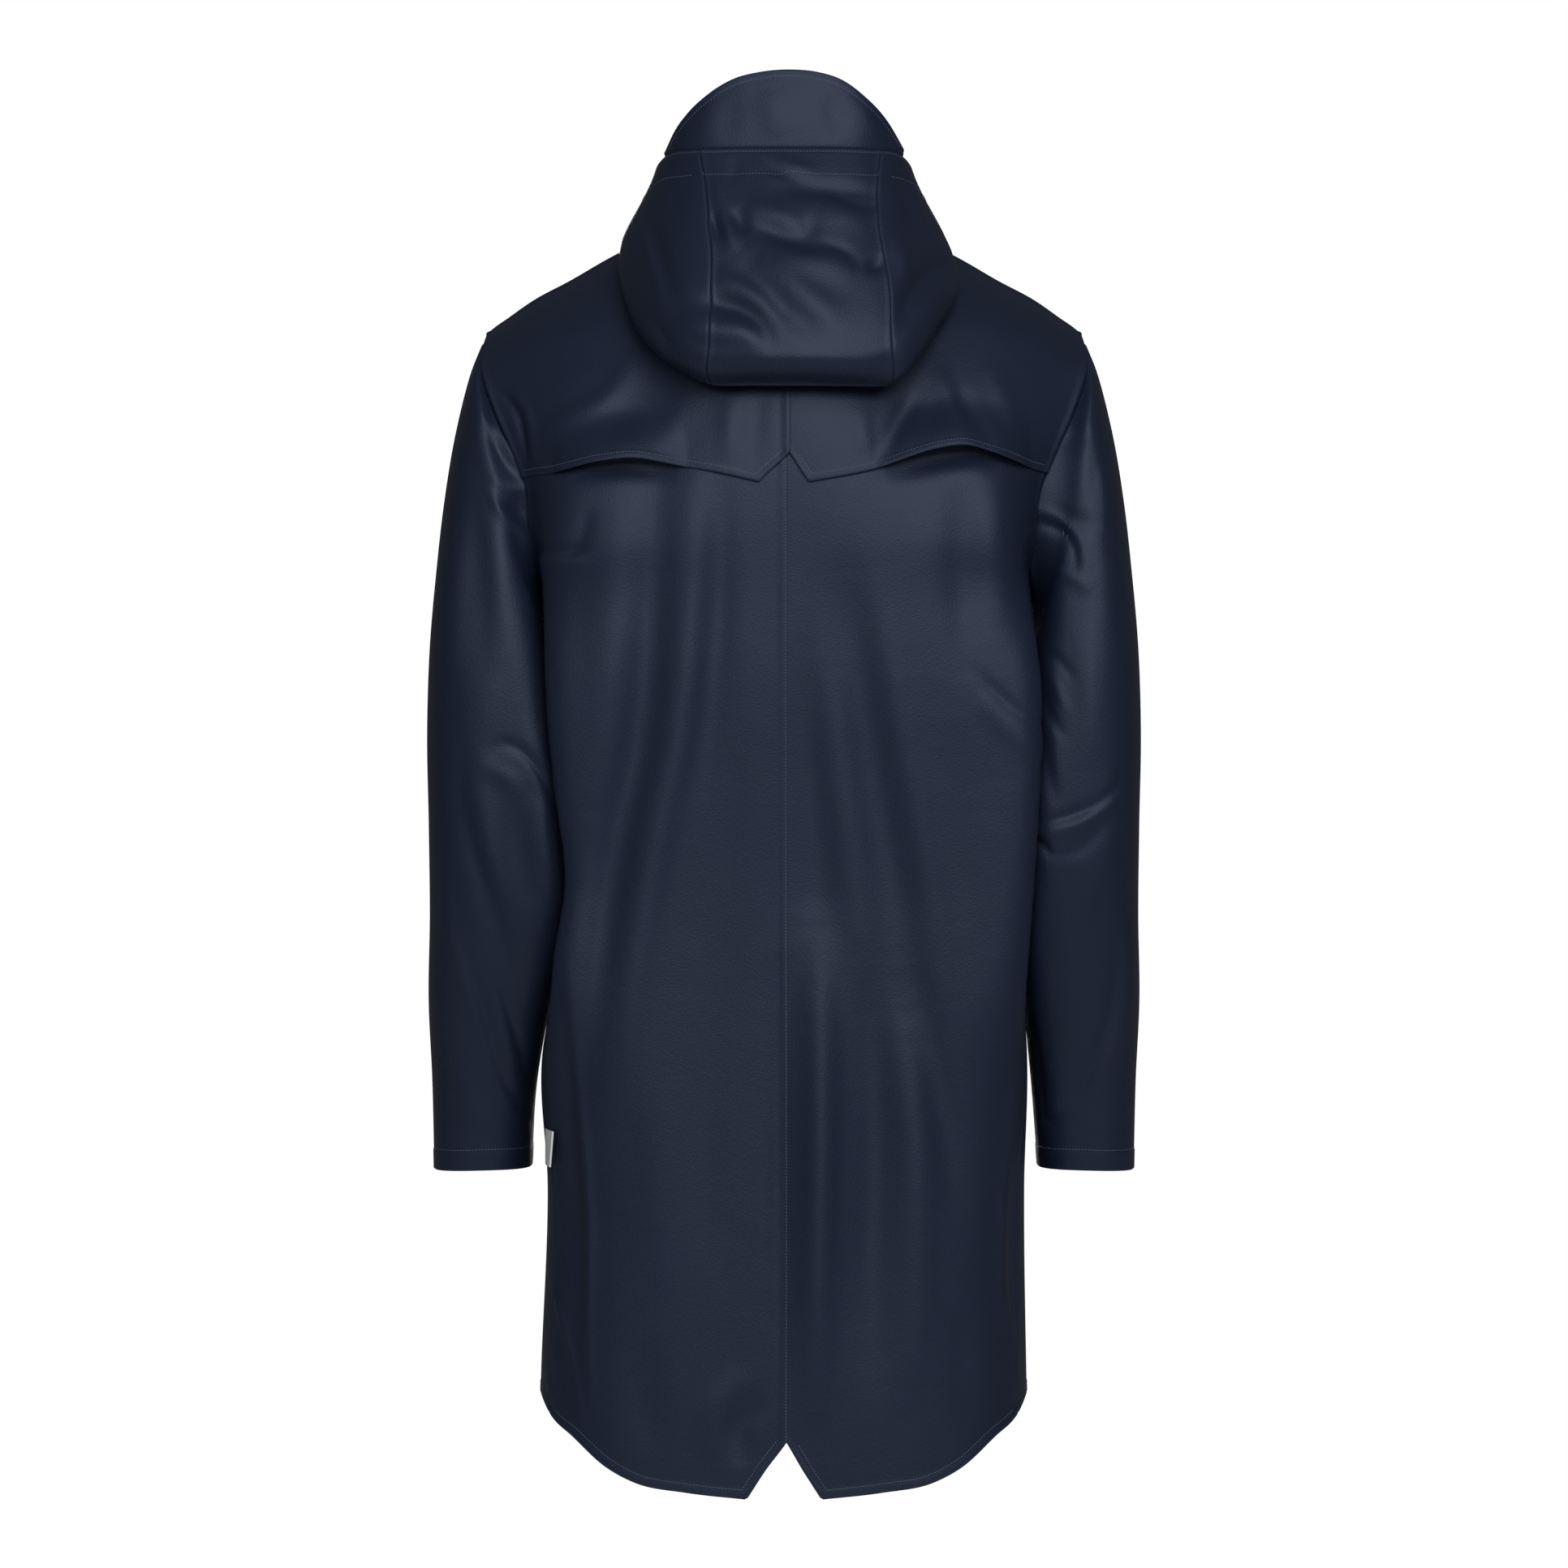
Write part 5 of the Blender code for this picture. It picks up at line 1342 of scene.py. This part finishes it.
def makeHood():
    look = hoodLook
    places = hoodPlaces()[0]
    outerRows = len(hoodShares()[0])
    grid = np.concatenate((hoodHalf(places, 1), hoodHalf(places, -1)[-2::-1])).transpose(1, 0, 2)
    outward = grid - grid.mean(axis=(0, 1))
    outward[outerRows // 2:] = 0.0
    start, end = look["creaseEndRows"]
    outer = 1 - stepUp(np.arange(len(grid)), outerRows + start, outerRows + end)
    behind = stepUp(grid[..., 1], *look["creaseFromY"])
    amount = foldField(hoodFolds, *seenFlat(grid)) * outer[:, None] * behind
    fromEdge = edgeDistance(grid, "top")
    amount += edgeRoll(fromEdge, *look["edgeRoll"])
    for stitch in (look["topStitch"], look["channelStitch"]):
        amount += ridge(fromEdge - stitch, look["stitchDip"])
    grid = pushOut(grid, outward, amount)
    for name, columns in hoodPanels(grid).items():
        panel = grid[:, columns]
        hint = outward[:, columns]
        fromLeft, fromRight, _, _ = edgeDistances(panel)
        amount = edgeRoll(fromLeft, *look["seamRoll"]) + edgeRoll(fromRight, *look["seamRoll"])
        if name == "hoodCentre":
            amount += ridge(fromLeft, look["seamRidge"]) + ridge(fromRight, look["seamRidge"])
        makeSheet(name, pushOut(panel, hint, amount), hint, wearOf(fromLeft, fromRight, fromEdge[:, columns]))
    return grid


def makeVisor():
    look = visorLook
    turns = look["turn"] + (180 - look["turn"]) * closeEnds(look["width"], coat["cell"], last=False)
    stations = [(turn, 1) for turn in turns] + [(turn, -1) for turn in turns[-2::-1]]
    shares = closeEnds(look["height"], coat["cell"])
    strips = []
    for turn, side in stations:
        foot = hoodSection(turn, side)[0] - np.array([0.0, 0.0, look["tuck"]])
        brim = smooth(foot[0], column(visorBrim, "x"), column(visorBrim, "z"))
        height = max(brim - foot[2], look["endHeight"])
        strips.append(foot + np.stack((0 * shares, look["lean"] * shares ** 2, height * shares), axis=1))
    grid = np.array(strips).transpose(1, 0, 2)[::-1]
    _, _, fromBrim, fromFoot = edgeDistances(grid)
    amount = look["rise"] + foldField(visorFolds, *seenFlat(grid))
    amount += hemBand(fromBrim, look["stitchIn"], look["hemRise"]) + ridge(fromFoot, look["footDip"])
    grid = pushOut(grid, toBack, amount)
    makeSheet("hoodVisor", grid, toBack, wearOf(fromBrim))
    return grid


labelLook = {
    "top": -0.682,
    "height": 0.027,
    "reach": 0.0185,
    "blunt": 3,               # how square the folded tape's round is
    "lean": 0.0062,           # how far its folded end leans in, less so lower down
    "leanPower": 1.4,
    "leanLoss": 0.35,
    "droop": 0.0012,
    "gap": 0.0012,
    "open": 0.0007,
    "ply": 0.0004,
    "rows": 14,
    "columns": 33,
}


def makeLabel():
    # a bare tape folded double, both ends caught in the side seam
    look = labelLook
    seam = sectionLine(1, look["top"], False)[-1]
    drop = np.linspace(0.0, 1.0, look["rows"])
    height = look["top"] - look["height"] * drop
    strips = []
    for share in np.linspace(0.0, 1.0, look["columns"]):
        out = 1 - abs(2 * share - 1) ** look["blunt"]
        opening = look["open"] * math.sin(math.pi * share) ** 0.5 * np.sign(0.5 - share)
        away = look["gap"] - look["lean"] * out ** look["leanPower"] * (1 - look["leanLoss"] * drop)
        strips.append(np.stack((seam[0] + away + opening, seam[1] + look["reach"] * out + 0 * drop,
                                height - look["droop"] * out), axis=1))
    grid = np.array(strips).transpose(1, 0, 2)
    makeSheet("sideLabel", grid, grid - grid.mean(axis=1, keepdims=True), wall=look["ply"],
              finishes=("whiteTape", "whiteTape"))


snapLook = {
    "radius": 0.0074,
    "height": 0.0022,
    "top": -0.150,
    "pitch": 0.138,
    "count": 6,
    "gap": 0.0004,
    "sides": 40,
    "sharpAngle": 40,
}
# half section of a cap: share of the radius, share of the height
snapSection = (
    (0.00, 0.62), (0.30, 0.60), (0.46, 0.56), (0.54, 0.66), (0.62, 0.86), (0.70, 0.97), (0.78, 1.00),
    (0.86, 0.95), (0.94, 0.78), (0.985, 0.50), (1.00, 0.22), (0.985, 0.00), (0.60, 0.00), (0.00, 0.00),
)


def makeSnap(index, placket):
    look = snapLook
    middle = placket.shape[1] // 2
    depth = index * look["pitch"] - look["top"]
    line = placket[:, middle]
    normals = normalsOf(placket, toFront)[:, middle]
    foot, normal = (np.array([np.interp(depth, -line[:, 2], values[:, axis]) for axis in range(3)])
                    for values in (line, normals))
    normal = unit(normal)
    across = unit(np.cross(normal, (0.0, 0.0, 1.0)))
    upward = np.cross(normal, across)
    build = bmesh.new()
    rings = []
    for radius, rise in snapSection:
        centre = foot + normal * (look["gap"] + look["height"] * rise)
        turns = np.linspace(0.0, 2 * math.pi, look["sides"], endpoint=False) if radius else (0.0,)
        spread = look["radius"] * radius
        rings.append([build.verts.new(centre + spread * (across * math.cos(turn) + upward * math.sin(turn)))
                      for turn in turns])
    for upper, lower in zip(rings, rings[1:]):
        for k in range(look["sides"]):
            corners = [upper[k % len(upper)], upper[(k + 1) % len(upper)],
                       lower[(k + 1) % len(lower)], lower[k % len(lower)]]
            build.faces.new(list(dict.fromkeys(corners)))
    bmesh.ops.recalc_face_normals(build, faces=build.faces)
    mesh = bpy.data.meshes.new(f"snap{index + 1}")
    build.to_mesh(mesh)
    build.free()
    mesh.materials.append(materials["snapPlastic"])
    smoothFaces(addObject(mesh.name, mesh), look["sharpAngle"])


stitchLook = {
    "pitch": 0.0024,
    "length": 0.0017,
    "thread": 0.00026,
    "lift": 0.00010,
    "seed": 7,
    "smallest": (0.86, 0.9, 0.9),
    "largest": (1.06, 1.1, 1.1),
    "segments": 6,
    "rings": 3,
    "trim": 0.006,            # left out at both ends of a row
    "cuffTrim": 0.002,
    "seamTrim": 0.001,
    "corner": 0.97,           # no stitch lies nearer to its edge than this part of its distance
    "probe": 0.0012,
    "inside": 8,              # grid lines from an edge to the line that shows which way is in
}
seams = []


def sewAlong(piece, grid, edge, outward, distance, trim=stitchLook["trim"]):
    # a row of stitches on the outside of a piece, at a distance inside one edge of its grid
    look = stitchLook
    if edge in ("left", "right"):
        grid = grid.transpose(1, 0, 2)
    if edge in ("right", "bottom"):
        grid = grid[::-1]
    rim = grid[0]
    tangent = unit(np.gradient(rim, axis=0))
    inward = grid[look["inside"]] - rim
    inward = unit(inward - tangent * np.sum(inward * tangent, axis=1, keepdims=True))
    line = rim + inward * distance
    apart = np.linalg.norm(line[:, None] - rim[None], axis=2).min(axis=1)
    along = lengthsOf(rim)
    line = line[(apart > look["corner"] * distance) & (along > trim) & (along < along[-1] - trim)]
    count = max(2, int(lengthsOf(line)[-1] / look["pitch"]))
    laid = []
    for point in readLine(line, np.linspace(0.0, 1.0, count)):
        found, place, normal, _ = pieces[piece].closest_point_on_mesh(Vector(point + outward * look["probe"]))
        if found:
            laid.append(place + normal * look["lift"])
    seams.append(laid)


def makeStitchTree(look):
    tree = bpy.data.node_groups.new("sewStitches", "GeometryNodeTree")
    tree.interface.new_socket("Geometry", in_out="INPUT", socket_type="NodeSocketGeometry")
    for name in ("Pitch", "Stitch length", "Thread radius"):
        tree.interface.new_socket(name, in_out="INPUT", socket_type="NodeSocketFloat")
    tree.interface.new_socket("Seed", in_out="INPUT", socket_type="NodeSocketInt")
    tree.interface.new_socket("Geometry", in_out="OUTPUT", socket_type="NodeSocketGeometry")

    def node(kind, sockets=None, **settings):
        made = tree.nodes.new(kind)
        for name, value in settings.items():
            setattr(made, name, value)
        for name, value in (sockets or {}).items():
            if isinstance(value, bpy.types.NodeSocket):
                tree.links.new(value, made.inputs[name])
            else:
                made.inputs[name].default_value = value
        return made.outputs

    given = node("NodeGroupInput")
    curves = node("GeometryNodeMeshToCurve", {"Mesh": given["Geometry"]})
    spaced = node("GeometryNodeResampleCurve", {"Curve": curves["Curve"], "Length": given["Pitch"]},
                  mode="LENGTH")
    half = node("ShaderNodeMath", {0: given["Stitch length"], 1: 0.5}, operation="MULTIPLY")
    thread = given["Thread radius"]
    size = node("ShaderNodeCombineXYZ", {"X": half[0], "Y": thread, "Z": thread})
    bead = node("GeometryNodeMeshUVSphere",
                {"Segments": look["segments"], "Rings": look["rings"], "Radius": 1.0})
    stitch = node("GeometryNodeTransform", {"Geometry": bead["Mesh"], "Scale": size[0]})
    # hand of the machine: each stitch grows or shrinks by a little
    uneven = node("FunctionNodeRandomValue", {0: look["smallest"], 1: look["largest"], "Seed": given["Seed"]},
                  data_type="FLOAT_VECTOR")
    along = node("GeometryNodeInputTangent")
    turned = node("FunctionNodeAlignRotationToVector", {"Vector": along[0]}, axis="X")
    sewn = node("GeometryNodeInstanceOnPoints",
                {"Points": spaced["Curve"], "Instance": stitch["Geometry"],
                 "Rotation": turned["Rotation"], "Scale": uneven[0]})
    solid = node("GeometryNodeRealizeInstances", {"Geometry": sewn["Instances"]})
    done = node("GeometryNodeSetMaterial", {"Geometry": solid["Geometry"], "Material": materials["thread"]})
    node("NodeGroupOutput", {"Geometry": done["Geometry"]})
    return tree


def makeStitching():
    look = stitchLook
    points = []
    links = []
    for line in seams:
        links += [(len(points) + k, len(points) + k + 1) for k in range(len(line) - 1)]
        points += [tuple(point) for point in line]
    mesh = bpy.data.meshes.new("stitching")
    mesh.from_pydata(points, links, [])
    rows = addObject("stitching", mesh)
    sew = rows.modifiers.new("sew", "NODES")
    sew.node_group = makeStitchTree(look)
    settings = {"Pitch": look["pitch"], "Stitch length": look["length"], "Thread radius": look["thread"],
                "Seed": look["seed"]}
    for item in sew.node_group.interface.items_tree:
        if item.name in settings:
            sew[item.identifier] = settings[item.name]
    bakeModifiers(rows)


grids = {}
for side in (1, -1):
    for name, make in (("back", makeBack), ("yoke", makeYoke), ("front", makeFront), ("sleeve", makeSleeve)):
        grids[sided(name, side)] = make(side)
    print(handOf(side), "side made")
placket = makePlacket(grids["frontLeft"], grids["frontRight"])
hood = makeHood()
visor = makeVisor()
makeLabel()
for index in range(snapLook["count"]):
    makeSnap(index, placket)
print("hood, visor, placket, label and snaps made")

split = sleeveTurns()[1]
for hand in ("Left", "Right"):
    for name, outward, look in (("back", toBack, backLook), ("front", toFront, frontLook),
                                ("yoke", toBack, yokeLook)):
        sewAlong(name + hand, grids[name + hand], "bottom", outward, look["hemStitch"])
    if hand == "Left":
        welt = grids["backLeft"][grids["backLeft"][:, 0, 2] < backLook["weltTopZ"]]
        sewAlong("backLeft", welt, "left", toBack, backLook["weltStitch"], stitchLook["seamTrim"])
    sleeve = grids["sleeve" + hand]
    for name, columns, outward in (("Back", slice(0, split), toBack), ("Front", slice(split, None), toFront)):
        sewAlong("sleeve" + hand + name, sleeve[:, columns], "bottom", outward, sleeveLook["cuffStitch"],
                 stitchLook["cuffTrim"])
sewAlong("hoodVisor", visor, "top", toBack, visorLook["stitchIn"])
for edge in ("left", "right"):
    sewAlong("placketStrip", placket, edge, toFront, placketLook["stitchIn"])
for name, columns in hoodPanels(hood).items():
    outward = unit((hood[0, columns].mean(axis=0) - hood.mean(axis=(0, 1))) * level)
    for distance in (hoodLook["topStitch"], hoodLook["channelStitch"]):
        sewAlong(name, hood[:, columns], "top", outward, distance, stitchLook["seamTrim"])
makeStitching()
print("stitches sewn:", len(seams), "rows")

eyeLens = bpy.data.cameras.new("eye")
eyeLens.sensor_width = coat["sensor"]
eyeLens.lens = coat["sensor"] * coat["eyeAway"] / coat["frameHeight"]
eye = addObject("eye", eyeLens)
eye.location = (0.0, coat["eyeAway"], coat["eyeZ"])
eye.rotation_euler = (math.pi / 2, 0.0, math.pi)
bpy.context.scene.camera = eye
bpy.context.scene.view_settings.view_transform = "Standard"

studio = {
    "aim": (0.0, 0.0, -0.40),
    "floorZ": -1.36,
    "floorRadius": 1.9,
    "floorSides": 96,
    "seenWhite": 1.0,
    "glow": 0.09,
}
softboxes = (
    {"name": "highLight", "place": (-0.6, 3.4, 2.2), "size": 1.7, "power": 33.0},
    {"name": "eyeLight", "place": (-0.1, 2.8, 0.6), "size": 1.0, "power": 19.0},
    {"name": "keyLight", "place": (-1.8, 3.7, 1.2), "size": 1.3, "power": 27.0},
    {"name": "leftLight", "place": (2.0, 3.8, 1.0), "size": 1.5, "power": 14.0},
    {"name": "frontLight", "place": (0.1, -3.4, -0.1), "size": 1.4, "power": 62.0},
)
for box in softboxes:
    lamp = bpy.data.lights.new(box["name"], "AREA")
    lamp.shape = "SQUARE"
    lamp.size = box["size"]
    lamp.energy = box["power"]
    holder = addObject(box["name"], lamp)
    holder.location = box["place"]
    holder.visible_camera = False
    aim = Vector(studio["aim"]) - holder.location
    holder.rotation_euler = aim.to_track_quat("-Z", "Y").to_euler()

# the studio is white to look at and dimmer as a light
world = bpy.data.worlds.new("studio")
bpy.context.scene.world = world
world.use_nodes = True
paint = world.node_tree
paint.nodes.clear()
path = paint.nodes.new("ShaderNodeLightPath")
choose = paint.nodes.new("ShaderNodeMixShader")
paint.links.new(path.outputs["Is Camera Ray"], choose.inputs[0])
for port, strength in ((1, studio["glow"]), (2, studio["seenWhite"])):
    glow = paint.nodes.new("ShaderNodeBackground")
    glow.inputs["Color"].default_value = (1.0, 1.0, 1.0, 1.0)
    glow.inputs["Strength"].default_value = strength
    paint.links.new(glow.outputs[0], choose.inputs[port])
paint.links.new(choose.outputs[0], paint.nodes.new("ShaderNodeOutputWorld").inputs["Surface"])

floorMesh = bpy.data.meshes.new("paleFloor")
build = bmesh.new()
bmesh.ops.create_circle(build, cap_ends=True, segments=studio["floorSides"], radius=studio["floorRadius"])
for vert in build.verts:
    vert.co.z = studio["floorZ"]
build.to_mesh(floorMesh)
build.free()
floorMesh.materials.append(materials["palePaint"])
addObject("paleFloor", floorMesh)
print("eye, lights and floor placed")

nodesOf = {"placketStrip": "placket", "hoodLeft": "hood_left", "hoodCentre": "hood_centre",
           "hoodRight": "hood_right", "hoodVisor": "hood_visor", "sideLabel": "side_label"}
for index in range(snapLook["count"]):
    nodesOf[f"snap{index + 1}"] = f"snap_{index + 1}"
# flat cut of each piece: width, length, flat area, how it is held and on what
cuts = {
    "placketStrip": (*placketLook["cut"], "hung", ["frontLeft", "frontRight"]),
    "hoodVisor": (*visorLook["cut"], "stretched", ["hoodCentre"]),
    **{name: (*cut, "gathered", ["yokeLeft", "yokeRight"]) for name, cut in hoodLook["cuts"].items()},
}
for hand in ("Left", "Right"):
    for name, cut, held, restsOn in (("back", backLook["cut"], "hung", "yoke"),
                                     ("yoke", yokeLook["cut"], "draped", "front"),
                                     ("front", frontLook["cut"], "hung", "yoke")):
        nodesOf[name + hand] = f"{name}_{hand.lower()}"
        cuts[name + hand] = (*cut, held, [restsOn + hand])
    for face, restsOn in (("Back", "yoke"), ("Front", "front")):
        nodesOf["sleeve" + hand + face] = f"sleeve_{hand.lower()}_{face.lower()}"
        cuts["sleeve" + hand + face] = (*sleeveLook["cuts"][face], "hung", [restsOn + hand])
for name, piece in pieces.items():
    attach(piece, "root")
    if name in nodesOf:
        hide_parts(nodesOf[name])
    if name in cuts:
        width, length, area, held, restsOn = cuts[name]
    area = sum(face.area for face in piece.data.polygons)
    triangles = sum(len(face.vertices) - 2 for face in piece.data.polygons)
    print(f"{name}: {area:.4f} m2, {triangles} triangles")
